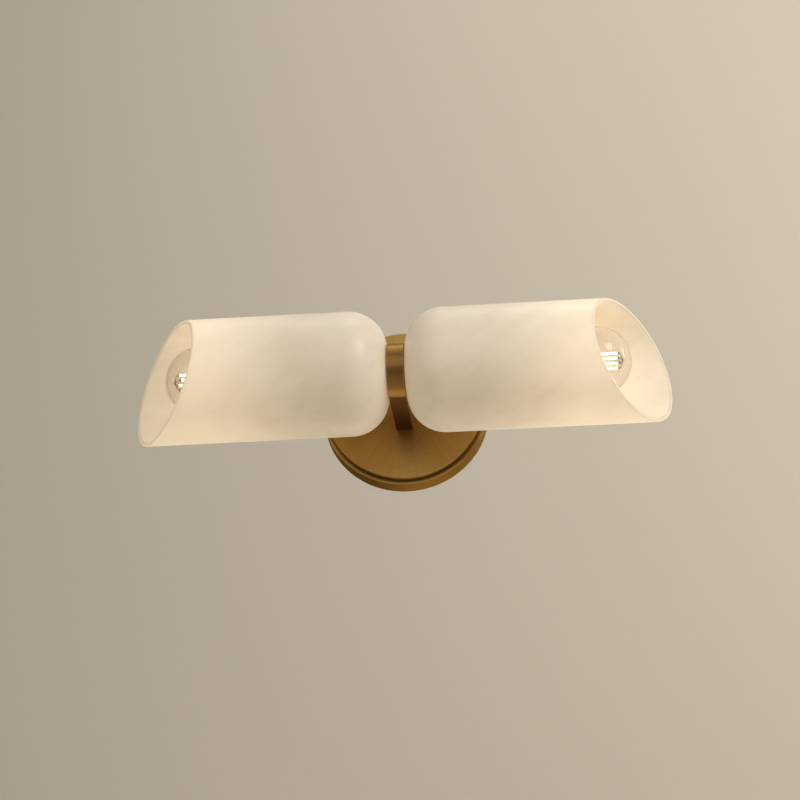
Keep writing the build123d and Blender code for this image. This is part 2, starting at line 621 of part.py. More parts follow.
    # Lampholder: moulded body with two flats and a well for the screw shell
    with BuildPart() as lampholder:
        with BuildSketch(axis_line):
            with BuildLine():
                Polyline(
                    (HOLDER_BACK, 0),
                    (HOLDER_BACK, HOLDER_R),
                    (HOLDER_FRONT, HOLDER_R),
                    (HOLDER_FRONT, WELL_R),
                    (HOLDER_FLOOR, WELL_R),
                    (HOLDER_FLOOR, 0),
                    close=True,
                )
            make_face()
        revolve(axis=SHADE_AXIS)
        front_rim = lampholder.edges().filter_by(GeomType.CIRCLE).sort_by(SortBy.RADIUS)[-2:]
        fillet(front_rim, HOLDER_EDGE_R)
        with BuildSketch(across(side, HOLDER_BACK)):
            for leg in (-1, 1):
                with Locations((leg * (HOLDER_FLAT + BRACKET_T / 2), 0)):
                    Rectangle(BRACKET_T, 2 * HOLDER_R)
        extrude(amount=BRACKET_LEG_END - HOLDER_BACK, mode=Mode.SUBTRACT)
        with BuildSketch(across(side, HOLDER_BACK)):
            Circle(RIVET_R + RIVET_FIT)
            with Locations((0, NEUTRAL_OFFSET)):
                Circle(RIVET_R + RIVET_FIT)
        extrude(amount=HOLDER_FLOOR - HOLDER_BACK, mode=Mode.SUBTRACT)
        for face in (-1, 1):
            flat = Plane(
                origin=(side * HOLDER_SCREW_X, -AXIS_REACH + face * HOLDER_FLAT, 0),
                x_dir=(1, 0, 0),
                z_dir=(0, face, 0),
            )
            with BuildSketch(flat):
                Circle(HOLDER_SCREW_R + SCREW_FIT)
            extrude(amount=-HOLDER_SCREW_DEPTH - SCREW_END_GAP / 2, mode=Mode.SUBTRACT)
    write(lampholder, f"lampholder_{side_name}")

    with BuildPart() as screw_shell:
        with BuildSketch(axis_line):
            with BuildLine():
                Polyline(
                    (HOLDER_FLOOR, SHELL_BASE_HOLE_R),
                    (HOLDER_FLOOR, SHELL_OUTER_R),
                    (HOLDER_FLOOR + SHELL_LENGTH, SHELL_OUTER_R),
                    (HOLDER_FLOOR + SHELL_LENGTH, SHELL_INNER_R),
                    (HOLDER_FLOOR + SCREW_SHELL_T, SHELL_INNER_R),
                    (HOLDER_FLOOR + SCREW_SHELL_T, SHELL_BASE_HOLE_R),
                    close=True,
                )
            make_face()
        revolve(axis=SHADE_AXIS)
    write(screw_shell, f"screw_shell_{side_name}")

    # Centre contact: a disc on the well's floor, riveted through to the back
    with BuildPart() as centre_contact:
        with BuildSketch(axis_line):
            with BuildLine():
                Polyline(
                    (RIVET_BACK, 0),
                    (RIVET_BACK, RIVET_HEAD_R),
                    (HOLDER_BACK, RIVET_HEAD_R),
                    (HOLDER_BACK, RIVET_R),
                    (HOLDER_FLOOR, RIVET_R),
                    (HOLDER_FLOOR, CONTACT_R),
                    (CONTACT_X, CONTACT_R),
                    (CONTACT_X, 0),
                    close=True,
                )
            make_face()
        revolve(axis=SHADE_AXIS)
    write(centre_contact, f"centre_contact_{side_name}")

    # Neutral rivet: from the shell's base to the lampholder's back
    with BuildPart() as neutral_rivet:
        with BuildSketch(across(side, RIVET_BACK, z=NEUTRAL_OFFSET)):
            Circle(RIVET_HEAD_R)
        extrude(amount=RIVET_HEAD_T)
        with BuildSketch(across(side, HOLDER_BACK, z=NEUTRAL_OFFSET)):
            Circle(RIVET_R)
        extrude(amount=HOLDER_FLOOR - HOLDER_BACK)
    write(neutral_rivet, f"neutral_rivet_{side_name}")

    # Leads: along the tube, round into the arm's bore, and into the canopy's connectors
    lead_end = CONNECTOR_MOUTH_Z + CONNECTOR_WELL_DEPTH
    terminal_back = RIVET_BACK - LEAD_TERMINAL_RUN
    lead_starts = {
        "hot": [(RIVET_BACK, 0.0)],
        "neutral": [
            (RIVET_BACK, NEUTRAL_OFFSET),
            (terminal_back, NEUTRAL_OFFSET),
            (terminal_back - LEAD_SHIFT_RUN, LEAD_PAIR_OFFSET),
        ],
    }
    for pole, connector_side in (("hot", 1), ("neutral", -1)):
        height = 0.0 if pole == "hot" else LEAD_PAIR_OFFSET
        nearer = 1 if side == connector_side else -1
        depth = CONNECTOR_DEPTH + nearer * LEAD_SPACING / 2
        points = [(side * x, -AXIS_REACH, z) for x, z in lead_starts[pole]]
        points += [
            (side * LEAD_SIDE_OFFSET, -AXIS_REACH, height),
            (side * LEAD_SIDE_OFFSET, -depth, height),
            (connector_side * CONNECTOR_X, -depth, height),
            (connector_side * CONNECTOR_X, -depth, lead_end),
        ]
        radii = [LEAD_HOLDER_BEND_R] * (len(lead_starts[pole]) - 1)
        radii += [LEAD_ARM_BEND_R, LEAD_CANOPY_BEND_R, LEAD_CANOPY_BEND_R]
        with BuildPart() as lead:
            with BuildLine() as lead_route:
                FilletPolyline(*points, radius=radii)
            with BuildSketch(start_of(lead_route)):
                Circle(LEAD_R)
            sweep(path=lead_route.line)
        lead_length = sum(edge.length for edge in lead_route.line.edges())
        print(pole, side_name, "radii", radii, "length", round(lead_length, 1))
        share = lead.part.volume / (pi * LEAD_R**2 * lead_length)
        print("  volume over section times length", round(share, 4))
        write(lead, f"{pole}_lead_{side_name}")

    # Bulb foot: the solder contact, flat where it meets the centre contact
    with BuildPart() as bulb_foot:
        with BuildSketch(axis_line):
            with BuildLine():
                Polyline(
                    (CONTACT_X, 0),
                    (CONTACT_X, FOOT_TIP_R),
                    (FOOT_BACK, FOOT_RIM_R),
                    (FOOT_BACK, 0),
                    close=True,
                )
            make_face()
        revolve(axis=SHADE_AXIS)
    write(bulb_foot, f"bulb_foot_{side_name}")

    with BuildPart() as bulb_insulator:
        with BuildSketch(axis_line):
            with BuildLine():
                Polyline(
                    (FOOT_BACK, 0),
                    (FOOT_BACK, INSULATOR_TIP_R),
                    (CAP_X, INSULATOR_RIM_R),
                    (CAP_X, CAP_HOLE_R - INSULATOR_FIT),
                    (CAP_X + INSULATOR_PLUG, CAP_HOLE_R - INSULATOR_FIT),
                    (CAP_X + INSULATOR_PLUG, 0),
                    close=True,
                )
            make_face()
        revolve(axis=SHADE_AXIS)
    write(bulb_insulator, f"bulb_insulator_{side_name}")

    thread_end = CAP_X + CAP_THREAD_LENGTH
    with BuildPart() as bulb_cap:
        with BuildSketch(axis_line):
            with BuildLine():
                Polyline(
                    (CAP_X, CAP_HOLE_R),
                    (CAP_X, CAP_THREAD_R - CAP_EDGE),
                    (CAP_X + CAP_EDGE, CAP_THREAD_R),
                    (thread_end, CAP_THREAD_R),
                    (SKIRT_X, SKIRT_INNER_R + CAP_T),
                    (SKIRT_END, SKIRT_INNER_R + CAP_T),
                    (SKIRT_END, SKIRT_INNER_R),
                    (SKIRT_X, SKIRT_INNER_R),
                    (thread_end, CAP_THREAD_R - CAP_T),
                    (CAP_X + CAP_T, CAP_THREAD_R - CAP_T),
                    (CAP_X + CAP_T, CAP_HOLE_R),
                    close=True,
                )
            make_face()
        revolve(axis=SHADE_AXIS)
    write(bulb_cap, f"bulb_cap_{side_name}")

    # Globe: blown glass, its neck blended into the sphere, hollow
    with BuildPart() as bulb_globe:
        for inset, mode in ((0.0, Mode.ADD), (GLOBE_WALL, Mode.SUBTRACT)):
            neck_r = NECK_R - inset
            blend_r = NECK_BLEND_R + inset
            globe_r = GLOBE_R - inset
            blend_y = neck_r + blend_r
            blend_x = GLOBE_X - sqrt((globe_r + blend_r) ** 2 - blend_y**2)
            meeting = degrees(atan2(blend_y, blend_x - GLOBE_X))
            with BuildSketch(axis_line):
                with BuildLine():
                    Line((GLOBE_X + globe_r, 0), (NECK_END, 0))
                    Line((NECK_END, 0), (NECK_END, neck_r))
                    Line((NECK_END, neck_r), (blend_x, neck_r))
                    CenterArc((blend_x, blend_y), blend_r, 270, meeting - 90)
                    CenterArc((GLOBE_X, 0), globe_r, 0, meeting)
                make_face()
            revolve(axis=SHADE_AXIS, mode=mode)
    write(bulb_globe, f"bulb_globe_{side_name}")

    # Glass stem: a flare that closes the neck, and the rod that carries the supports
    rod_end = OUTER_SPIDER_X + SPIDER_T + STEM_ROD_END
    with BuildPart() as bulb_stem:
        with BuildSketch(axis_line):
            with BuildLine():
                Polyline(
                    (NECK_END - STEM_FLARE_T, 0),
                    (NECK_END - STEM_FLARE_T, NECK_R),
                    (NECK_END, NECK_R),
                    (NECK_END, STEM_FOOT_R),
                    (STEM_TOP_X, STEM_TOP_R),
                    (STEM_TOP_X, STEM_ROD_R),
                    (rod_end, STEM_ROD_R),
                    (rod_end, 0),
                    close=True,
                )
            make_face()
        revolve(axis=SHADE_AXIS)
    write(bulb_stem, f"bulb_stem_{side_name}")

    with BuildPart() as bulb_filaments:
        with BuildSketch(across(side, FILAMENT_X)):
            with PolarLocations(FILAMENT_CIRCLE_R, FILAMENT_COUNT, FILAMENT_PHASE):
                Circle(FILAMENT_R)
        extrude(amount=FILAMENT_LENGTH)
    write(bulb_filaments, f"bulb_filaments_{side_name}")

    # Supports: two wire spiders round the rod, with tabs to the filaments' ends
    with BuildPart() as bulb_supports:
        for spider_x, tab_x in ((STEM_TOP_X, STEM_TOP_X + SPIDER_T), (OUTER_SPIDER_X, FILAMENT_END)):
            with BuildSketch(across(side, spider_x)):
                Circle(SPIDER_HUB_R)
                reach = FILAMENT_CIRCLE_R + TAB_W / 2
                with PolarLocations(reach / 2, FILAMENT_COUNT, FILAMENT_PHASE):
                    Rectangle(reach, SPIDER_W)
                Circle(STEM_ROD_R + SPIDER_FIT, mode=Mode.SUBTRACT)
            extrude(amount=SPIDER_T)
            with BuildSketch(across(side, tab_x)):
                with PolarLocations(FILAMENT_CIRCLE_R, FILAMENT_COUNT, FILAMENT_PHASE):
                    Rectangle(TAB_W, SPIDER_W)
            extrude(amount=TAB_LENGTH)
    write(bulb_supports, f"bulb_supports_{side_name}")
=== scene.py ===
# %% [markdown]
# # Dressing a double arm wall sconce
# The lamp is a brass arm that carries two milky glass shades on one threaded tube. Each
# shade is a cylinder with a rounded, closed end and a slanted mouth, and a clear globe
# bulb glows inside it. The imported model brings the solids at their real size. This
# lesson gives each of them its finish, and makes finer surfaces for the pieces whose
# look needs them: the glass, the bulbs, the threads, the connectors and the screws.
# Lengths are in metres, +Z is up, the wall is y = 0 and the room lies towards -Y.

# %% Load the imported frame
import json
from math import atan2, cos, pi, radians, sin, sqrt, tan

import bmesh
import bpy
import numpy as np
from mathutils import Matrix, Vector


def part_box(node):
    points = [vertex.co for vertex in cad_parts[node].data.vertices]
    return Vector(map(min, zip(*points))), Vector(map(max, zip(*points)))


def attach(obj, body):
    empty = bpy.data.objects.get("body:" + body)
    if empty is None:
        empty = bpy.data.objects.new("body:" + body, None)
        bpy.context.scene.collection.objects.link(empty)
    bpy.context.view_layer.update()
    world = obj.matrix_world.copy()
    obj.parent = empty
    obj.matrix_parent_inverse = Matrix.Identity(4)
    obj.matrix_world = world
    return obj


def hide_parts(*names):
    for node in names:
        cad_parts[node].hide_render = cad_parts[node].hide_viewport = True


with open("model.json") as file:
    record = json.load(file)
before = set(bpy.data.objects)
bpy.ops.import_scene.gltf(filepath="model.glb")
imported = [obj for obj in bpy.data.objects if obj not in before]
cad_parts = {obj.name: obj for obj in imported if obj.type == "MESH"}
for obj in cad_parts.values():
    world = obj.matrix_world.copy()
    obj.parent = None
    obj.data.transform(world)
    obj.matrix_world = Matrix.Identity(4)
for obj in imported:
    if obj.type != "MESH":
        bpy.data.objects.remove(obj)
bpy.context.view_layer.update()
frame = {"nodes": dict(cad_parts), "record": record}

nodes = frame["nodes"]

# %% [markdown]
# ## Sizes
# A piece that replaces a solid has to stay exactly where the solid is. Typing all the
# sizes again would do that once, until the model changes. Most of them are therefore
# measured on the frame, and only what a box can't tell, such as a wall's thickness or
# a blend's radius, is typed.

# %% Measure the frame
SIDES = {"left": -1, "right": 1}


def span(node):
    """Where a piece of the right side starts and ends, as distances from the middle."""
    low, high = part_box(node + "_right")
    return low.x, high.x


def radius(node):
    """Half of a turned piece's height."""
    low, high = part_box(node)
    return (high.z - low.z) / 2


tube_low, tube_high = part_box("cross_tube")
AXIS_Y = (tube_low.y + tube_high.y) / 2
ARM_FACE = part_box("arm")[1].x
ARM_R = radius("arm")
CANOPY_R = radius("canopy")
CANOPY_DEPTH = -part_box("canopy")[0].y
GLASS_END = span("shade")[0]
SHADE_R = radius("shade_right")
NECK_END, GLOBE_TIP = span("bulb_globe")
GLOBE_R = radius("bulb_globe_right")
GLOBE_X = GLOBE_TIP - GLOBE_R
FILAMENT_X, FILAMENT_END = span("bulb_filaments")
print("axis y", round(AXIS_Y, 4), "shade radius", round(SHADE_R, 4), "globe at", round(GLOBE_X, 4))

# %% Sizes that a box can't tell
GLASS_T = 0.003
END_CORNER_R = 0.0283       # outer radius of the shade's rounded end
MOUTH_X = 0.1745            # where the mouth's plane crosses the axis
MOUTH_SLANT = radians(32)   # between the mouth's plane and a square cut
MOUTH_TURN = radians(12)    # how far the mouth is turned up from straight forward
RIM_R = 0.0013              # the solid has 1 mm, but a Bezier arc stays nearer the corner
GLASS_HOLE_R = 0.0053
GLOBE_WALL = 0.0008
NECK_R = 0.0062
NECK_BLEND_R = 0.008
FILAMENT_R = 0.0008
FILAMENT_CIRCLE_R = 0.0058
FILAMENT_PHASE = radians(45)
FILAMENTS = 4
CHIP_PITCH = 0.0011         # from one chip of a filament to the next

# %% [markdown]
# ## Camera
# The photograph looks up at the lamp from well below, a little right of its middle.
# The camera's place and its three angles were found by laying the model's edges over
# the photograph. Its axes are built from yaw, pitch and roll, which is easier to read
# than a list of nine matrix numbers.

# %% The camera
CAMERA_PLACE = (0.12834, -1.51901, -0.68671)
YAW, PITCH, ROLL = radians(5.019), radians(24.66), radians(-0.75)

camera = bpy.data.objects.new("camera", bpy.data.cameras.new("camera"))
camera.data.lens = 97.34
camera.data.sensor_width = 36
camera.data.sensor_fit = "HORIZONTAL"
ahead = Vector((-sin(YAW) * cos(PITCH), cos(YAW) * cos(PITCH), sin(PITCH)))
level = Vector((cos(YAW), sin(YAW), 0))
upward = level.cross(ahead)
sideways = level * cos(ROLL) + upward * sin(ROLL)
upright = upward * cos(ROLL) - level * sin(ROLL)
camera.matrix_world = Matrix.Translation(CAMERA_PLACE) @ Matrix(
    (sideways, upright, -ahead)
).transposed().to_4x4()
bpy.context.scene.collection.objects.link(camera)
bpy.context.scene.camera = camera
print("camera looks along", [round(part, 3) for part in ahead])

# %% [markdown]
# ## Surfaces
# Every new piece is a grid of points worked out with numpy: one parameter runs along a
# profile and the other runs round an axis. Blender's own primitives and the Spin tool
# could give rough versions, but a formula says exactly what the shape is, and one
# function serves bulbs, threads, connectors and screws alike.

# %% From a grid of points to a piece
AROUND = 96


def turns(columns=AROUND):
    """The angles of the columns, one full turn without its last, repeated point."""
    return np.linspace(0, 2 * pi, columns, endpoint=False)


def around(axis, origin, along, r, columns=AROUND):
    """Points round an axis: the distance along it, and r times the cosine and the sine
    of the turn along the two other directions, all measured from the origin."""
    order = {"X": (0, 1, 2), "Y": (1, 0, 2), "Z": (2, 0, 1)}[axis]
    turn = turns(columns)
    parts = np.broadcast_arrays(along, r * np.cos(turn), r * np.sin(turn))
    points = np.empty(parts[0].shape + (3,))
    for direction, part in zip(order, parts):
        points[..., direction] = origin[direction] + part
    return points


def skin(points, ring=False, poles=(False, False)):
    """Faces between neighbouring rows of points. Each row is a closed ring. ring joins
    the last row to the first, and a pole closes an end row with a fan to its middle."""
    rows, columns = points.shape[:2]
    vertices = points.reshape(-1, 3)
    number = np.arange(rows * columns).reshape(rows, columns)
    near = number if ring else number[:-1]
    far = np.roll(number, -1, 0) if ring else number[1:]
    corners = (near, np.roll(near, -1, 1), np.roll(far, -1, 1), far)
    faces = np.stack(corners, -1).reshape(-1, 4).tolist()
    for wanted, row in zip(poles, (number[0], number[-1])):
        if wanted:
            middle = np.full(columns, len(vertices))
            vertices = np.vstack([vertices, vertices[row].mean(0)])
            faces += np.stack((row, np.roll(row, -1), middle), -1).tolist()
    return vertices, faces


def make(name, parts, paint, body, replaced=(), sharp=35):
    """Joins skins into one piece, turns its faces outwards and hangs it on its body."""
    vertices, faces = [], []
    for part_vertices, part_faces in parts:
        shift = sum(len(block) for block in vertices)
        vertices.append(part_vertices)
        faces += [[shift + corner for corner in face] for face in part_faces]
    mesh = bpy.data.meshes.new(name)
    mesh.from_pydata(np.vstack(vertices).tolist(), [], faces)
    outward = bmesh.new()
    outward.from_mesh(mesh)
    bmesh.ops.recalc_face_normals(outward, faces=outward.faces)
    outward.to_mesh(mesh)
    outward.free()
    mesh.polygons.foreach_set("use_smooth", np.ones(len(mesh.polygons), bool))
    mesh.set_sharp_from_angle(angle=radians(sharp))
    mesh.materials.append(paint)
    piece = bpy.data.objects.new(name, mesh)
    bpy.context.scene.collection.objects.link(piece)
    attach(piece, body)
    if replaced:
        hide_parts(*replaced)
    print(name, "faces:", len(mesh.polygons))


# %% Small helpers for profiles
def soft_corner(before, corner, after, cut, steps=6):
    """A quadratic Bezier arc in place of a corner, from cut before it to cut after it."""
    one, two = before - corner, after - corner
    start = corner + one / np.linalg.norm(one, axis=-1, keepdims=True) * cut
    end = corner + two / np.linalg.norm(two, axis=-1, keepdims=True) * cut
    t = np.linspace(0, 1, steps).reshape(-1, *[1] * corner.ndim)
    return (1 - t) ** 2 * start + 2 * t * (1 - t) * corner + t**2 * end


def reach(before, corner, after, r):
    """How far a rounding of radius r goes along both sides of a corner: the radius over
    the tangent of half the angle between the sides."""
    one, two = before - corner, after - corner
    lengths = np.linalg.norm(one, axis=-1) * np.linalg.norm(two, axis=-1)
    angle = np.arccos(np.sum(one * two, -1) / lengths)
    return (r / np.tan(angle / 2))[..., None]


def soft_profile(corners, cuts, steps=6):
    """A closed polygon of (along, radius) corners with every corner made soft."""
    corners = np.array(corners, float)
    cuts = np.broadcast_to(cuts, len(corners))[:, None]
    arcs = soft_corner(np.roll(corners, 1, 0), corners, np.roll(corners, -1, 0), cuts, steps)
    return arcs.transpose(1, 0, 2).reshape(-1, 2)


def arc(middle, r, start, end, steps):
    """Points on a circle's arc from one angle to another, in degrees."""
    angle = np.radians(np.linspace(start, end, steps))
    return np.stack([middle[0] + r * np.cos(angle), middle[1] + r * np.sin(angle)], -1)


def between(first, last, steps):
    """Evenly spaced rows between two rows, without the two themselves."""
    t = np.linspace(0, 1, steps + 2)[1:-1].reshape(-1, *[1] * np.ndim(first))
    return first + (last - first) * t


def smooth(value, low, high):
    """0 up to low, 1 from high on. Between them it is three times the square of the way
    less twice its cube, so it starts and ends level."""
    t = np.clip((value - low) / (high - low), 0, 1)
    return t * t * (3 - 2 * t)


def wave(along, pitch, turn):
    """A thread: 1 on its crest and 0 in its valley, one pitch further with each turn."""
    return 0.5 + 0.5 * np.cos(2 * pi * (along / pitch - turn / (2 * pi)))


def fade(along, start, end, run):
    """1 between two ends, falling smoothly to 0 over a run at each of them."""
    return smooth(np.minimum(along - start, end - along), 0, run)


def shade_line(along, r, side):
    """Points round the shades' axis, with the distance counted outwards."""
    return around("X", (0, AXIS_Y, 0), side * along, r)


def turned(profile, side):
    """Turns a profile of (along, radius) points about the shades' axis."""
    return shade_line(profile[:, :1], profile[:, 1:], side)


# %% [markdown]
# ## Finishes
# A finish is a small tree of shader nodes. Wiring such a tree by hand in the editor
# works for one material, but patterns are sums and products, and those read best as
# sums and products. The class below wraps one socket, so that ordinary arithmetic on
# it adds the Math nodes.

# %% The socket that can do arithmetic
class Signal:
    """A value, colour or vector on its way through a finish."""

    def __init__(self, tree, socket=None):
        self.tree = tree
        self.socket = socket

    def node(self, kind, settings=None, sockets=None, output=0):
        """Adds a node of a kind: its settings first, then its sockets' values or links.
        Gives one of its outputs as a new signal."""
        made = self.tree.nodes.new(kind)
        for name, value in (settings or {}).items():
            setattr(made, name, value)
        for name, value in (sockets or {}).items():
            if isinstance(value, Signal):
                self.tree.links.new(value.socket, made.inputs[name])
            else:
                made.inputs[name].default_value = value
        return None if output is None else Signal(self.tree, made.outputs[output])

    def math(self, operation, *values):
        return self.node("ShaderNodeMath", {"operation": operation}, dict(enumerate(values)))

    def __add__(self, other):
        return self.math("ADD", self, other)

    def __radd__(self, other):
        return self.math("ADD", other, self)

    def __sub__(self, other):
        return self.math("SUBTRACT", self, other)

    def __rsub__(self, other):
        return self.math("SUBTRACT", other, self)

    def __mul__(self, other):
        return self.math("MULTIPLY", self, other)

    def __truediv__(self, other):
        return self.math("DIVIDE", self, other)

    def __pow__(self, other):
        return self.math("POWER", self, other)

    def size(self):
        return self.math("ABSOLUTE", self)

    def rise(self, low, high):
        """0 up to low, 1 from high on, and smooth between them."""
        settings = {"interpolation_type": "SMOOTHSTEP"}
        sockets = {"Value": self, "From Min": low, "From Max": high}
        return self.node("ShaderNodeMapRange", settings, sockets)

    def hill(self, middle, width):
        """1 at a middle value, falling smoothly to 0 a width away on both sides."""
        return 1 - (self - middle).size().rise(0, width)

    def mix(self, first, second):
        """The first colour where this signal is 0, and the second where it is 1."""
        sockets = {"Factor": self, 6: first, 7: second}
        return self.node("ShaderNodeMix", {"data_type": "RGBA"}, sockets, 2)


# %% Starting and closing a finish
def start(name):
    """A new material, its empty tree, and the object's own coordinates in it."""
    material = bpy.data.materials.new(name)
    material.use_nodes = True
    material.node_tree.nodes.clear()
    tree = Signal(material.node_tree)
    place = tree.node("ShaderNodeTexCoord", output="Object")
    parts = [place.node("ShaderNodeSeparateXYZ", None, {0: place}, axis) for axis in range(3)]
    return material, tree, place, parts


def close(tree, shader):
    """Joins the last shader to the output."""
    tree.node("ShaderNodeOutputMaterial", None, {"Surface": shader}, None)


def grain(place, stretch, scale=1.0, detail=2.0, rough=0.5):
    """Noise on coordinates that are multiplied by a stretch in each direction."""
    spread = place.node("ShaderNodeMapping", None, {"Vector": place, "Scale": stretch})
    sockets = {"Vector": spread, "Scale": scale, "Detail": detail, "Roughness": rough}
    return spread.node("ShaderNodeTexNoise", None, sockets)


def bump(height, strength, distance):
    """A normal that follows a height pattern, in metres of height."""
    sockets = {"Strength": strength, "Distance": distance, "Height": height}
    return height.node("ShaderNodeBump", None, sockets)


def rgb(*parts):
    """A colour socket's value."""
    return (*parts, 1)


# %% [markdown]
# ## Brass
# The arm and the canopy are brushed and aged: fine parallel scratches, a warm brown
# patina that lies unevenly, and edges that hands have polished a little lighter. Some of
# the colour is painted light: shade on the arm's flat faces and the canopy's outer wall,
# highlights on the canopy's edges and fans of reflection on its face. The arm is brushed
# straight across, and the canopy in circles, because it turned on a lathe. Both come from
# one function, fed with different scratch coordinates and tones: the canopy's tones are a
# lighter, lit copy of the arm's, which is painted light.

# %% Brushed antique brass
BRASS_EDGE = rgb(0.72, 0.50, 0.24)
BRASS_TINT = rgb(0.86, 0.66, 0.42)


def brushed_brass(name, dark, light, shade, brushing):
    """Aged brass between a dark and a light tone. brushing gets the tree, the place and
    its parts, and gives the scratches, the mask of the bright edges (wear, and on the
    canopy also painted highlights), the mask of the darkened places (painted shade, with
    patina in the canopy's corner), and a slow change of tone (on the canopy, painted
    fans of reflection). shade is the colour of the darkened places."""
    material, tree, place, parts = start(name)
    scratches, edges, painted_shade_and_patina, sweep = brushing(tree, place, parts)
    patina = grain(place, (1, 1, 1), 38, 3.0, 0.6)
    cloud = grain(place, (1, 1, 1), 9, 2.0, 0.5)
    # sweep is a slow change of tone. On the canopy it is painted fans of reflection.
    tone = scratches * 0.70 + patina * 0.28 + cloud * 0.16 + sweep * 0.26 - 0.15
    colour = tone.rise(0.1, 0.95).mix(rgb(*dark), rgb(*light))
    # Darkened places take the shade colour: painted shade, with patina in the canopy's corner.
    # Bright edges are wear, and on the canopy they are also painted highlights.
    colour = edges.mix(painted_shade_and_patina.mix(colour, rgb(*shade)), BRASS_EDGE)
    shader = tree.node("ShaderNodeBsdfPrincipled", None, {
        "Base Color": colour,
        "Metallic": 1.0,
        "Roughness": 0.30 + scratches * 0.14 + patina * 0.06 + painted_shade_and_patina * 0.12,
        "Specular Tint": BRASS_TINT,
        "Normal": bump(scratches, 0.55, 0.00004),
    })
    close(tree, shader)
    return material


def straight_brushing(tree, place, parts):
    """Scratches across the round end and lengthwise on the flat top and underside, which
    are darkened with painted shade. The two long edges are worn bright."""
    x, y, z = parts
    flat = z.size().rise(ARM_R - 0.0006, ARM_R - 0.0002) * y.rise(AXIS_Y - 0.0012, AXIS_Y + 0.0004)
    crosswise = grain(place, (30, 3200, 3200), 1.0, 3.0, 0.65)
    lengthwise = grain(place, (2600, 14, 30), 1.0, 3.0, 0.65)
    coarse = grain(place, (12, 900, 900), 1.0, 2.0, 0.5)
    scratches = flat * lengthwise + (1 - flat) * (crosswise * 0.65 + coarse * 0.35)
    edges = x.size().rise(ARM_FACE - 0.0007, ARM_FACE) * 0.40
    # flat * 0.85 darkens the flat top and underside: painted shade.
    return scratches, edges, flat * 0.85, grain(place, (1, 1, 1), 22, 2.0, 0.5)


DISC_R = CANOPY_R - 0.0031   # the raised disc on the flange
FLANGE_DEPTH = 0.0146        # from the wall to the flange's front


def circular_brushing(tree, place, parts):
    """Scratches in circles round the line out of the wall: noise that changes quickly
    with the distance from that line and slowly with the direction. Thin streaks and wide
    fans of tone change with the direction alone: painted reflection, the radial highlights
    that a spun disc shows in light. The corner at the foot of the disc is darkened, partly
    patina and partly painted shade on the disc's side, and the outer wall is darkened with
    painted shade. Both edges carry thin bright lines: painted highlights, with some polish."""
    x, y, z = parts
    r = (x * x + z * z) ** 0.5
    rings = {"X": x / r * 5, "Y": y * 2600, "Z": r * 2600}
    spun = tree.node("ShaderNodeCombineXYZ", None, rings)
    lift = tree.node("ShaderNodeCombineXYZ", None, {"X": z / r * 5})
    both = tree.node("ShaderNodeVectorMath", {"operation": "ADD"}, {0: spun, 1: lift})
    fine = both.node("ShaderNodeTexNoise", None, {"Vector": both, "Scale": 1.0, "Detail": 3.0})
    direction = tree.node("ShaderNodeCombineXYZ", None, {"X": x / r, "Y": z / r, "Z": r * 12})
    # The fans and the streaks below are painted reflection: the radial highlights of a spun face.
    fans = grain(direction, (5, 5, 1), 1.0, 3.0, 0.6)
    streaks = grain(direction, (42, 42, 1), 1.0, 3.0, 0.7)
    # Thin bright lines on the disc's and the flange's edges: painted highlights, with some polish.
    disc_edge = r.hill(DISC_R - 0.0002, 0.0005) * y.hill(-CANOPY_DEPTH + 0.0001, 0.0005)
    flange_edge = r.hill(CANOPY_R - 0.0003, 0.0007) * y.hill(-FLANGE_DEPTH + 0.0003, 0.0008)
    # The corner at the disc's foot is darkened: patina, and painted shade on the disc's side.
    groove = r.hill(DISC_R, 0.0022) * y.rise(-CANOPY_DEPTH + 0.0004, -CANOPY_DEPTH + 0.0016)
    # The flange's outer wall is darkened: painted shade.
    wall = r.rise(CANOPY_R - 0.0004, CANOPY_R - 0.0001)
    edges = (disc_edge + flange_edge) * 0.42
    return fine * 0.5 + streaks * 0.5, edges, groove * 0.62 + wall * 0.90, fans


arm_brass = brushed_brass(
    "brass_brushed_straight", (0.235, 0.122, 0.035), (0.400, 0.228, 0.076),
    (0.125, 0.055, 0.022), straight_brushing)
# The canopy's tones are about one and a half times the arm's: a lit copy of the same brass, painted
# light.
canopy_brass = brushed_brass(
    "brass_brushed_round", (0.33, 0.190, 0.050), (0.60, 0.375, 0.120),
    (0.150, 0.078, 0.022), circular_brushing)


# %% [markdown]
# ## Other metals, plastics and rubber
# The small parts have plainer finishes, but none is one flat colour: plated steel shows
# a faint crystal pattern, moulded plastic is slightly uneven, rubber has a fine tooth.
# One function makes them all from two colours and the size and depth of their grain.

# %% Finishes from two colours and a grain
def plain_finish(name, dark, light, metallic, gloss, cell, depth):
    """Two close colours mixed by noise of a cell size, in metres. gloss is the roughness
    where the noise is low and where it is high, and depth is the height of its bump."""
    material, tree, place, parts = start(name)
    clouds = grain(place, (1, 1, 1), 0.2 / cell, 3.0, 0.55)
    tooth = grain(place, (1, 1, 1), 1 / cell, 2.0, 0.5)
    shader = tree.node("ShaderNodeBsdfPrincipled", None, {
        "Base Color": (clouds * 0.6 + tooth * 0.4).rise(0.3, 0.7).mix(rgb(*dark), rgb(*light)),
        "Metallic": metallic,
        "Roughness": gloss[0] + tooth * (gloss[1] - gloss[0]),
        "Normal": bump(tooth, 0.5, depth),
    })
    close(tree, shader)
    return material


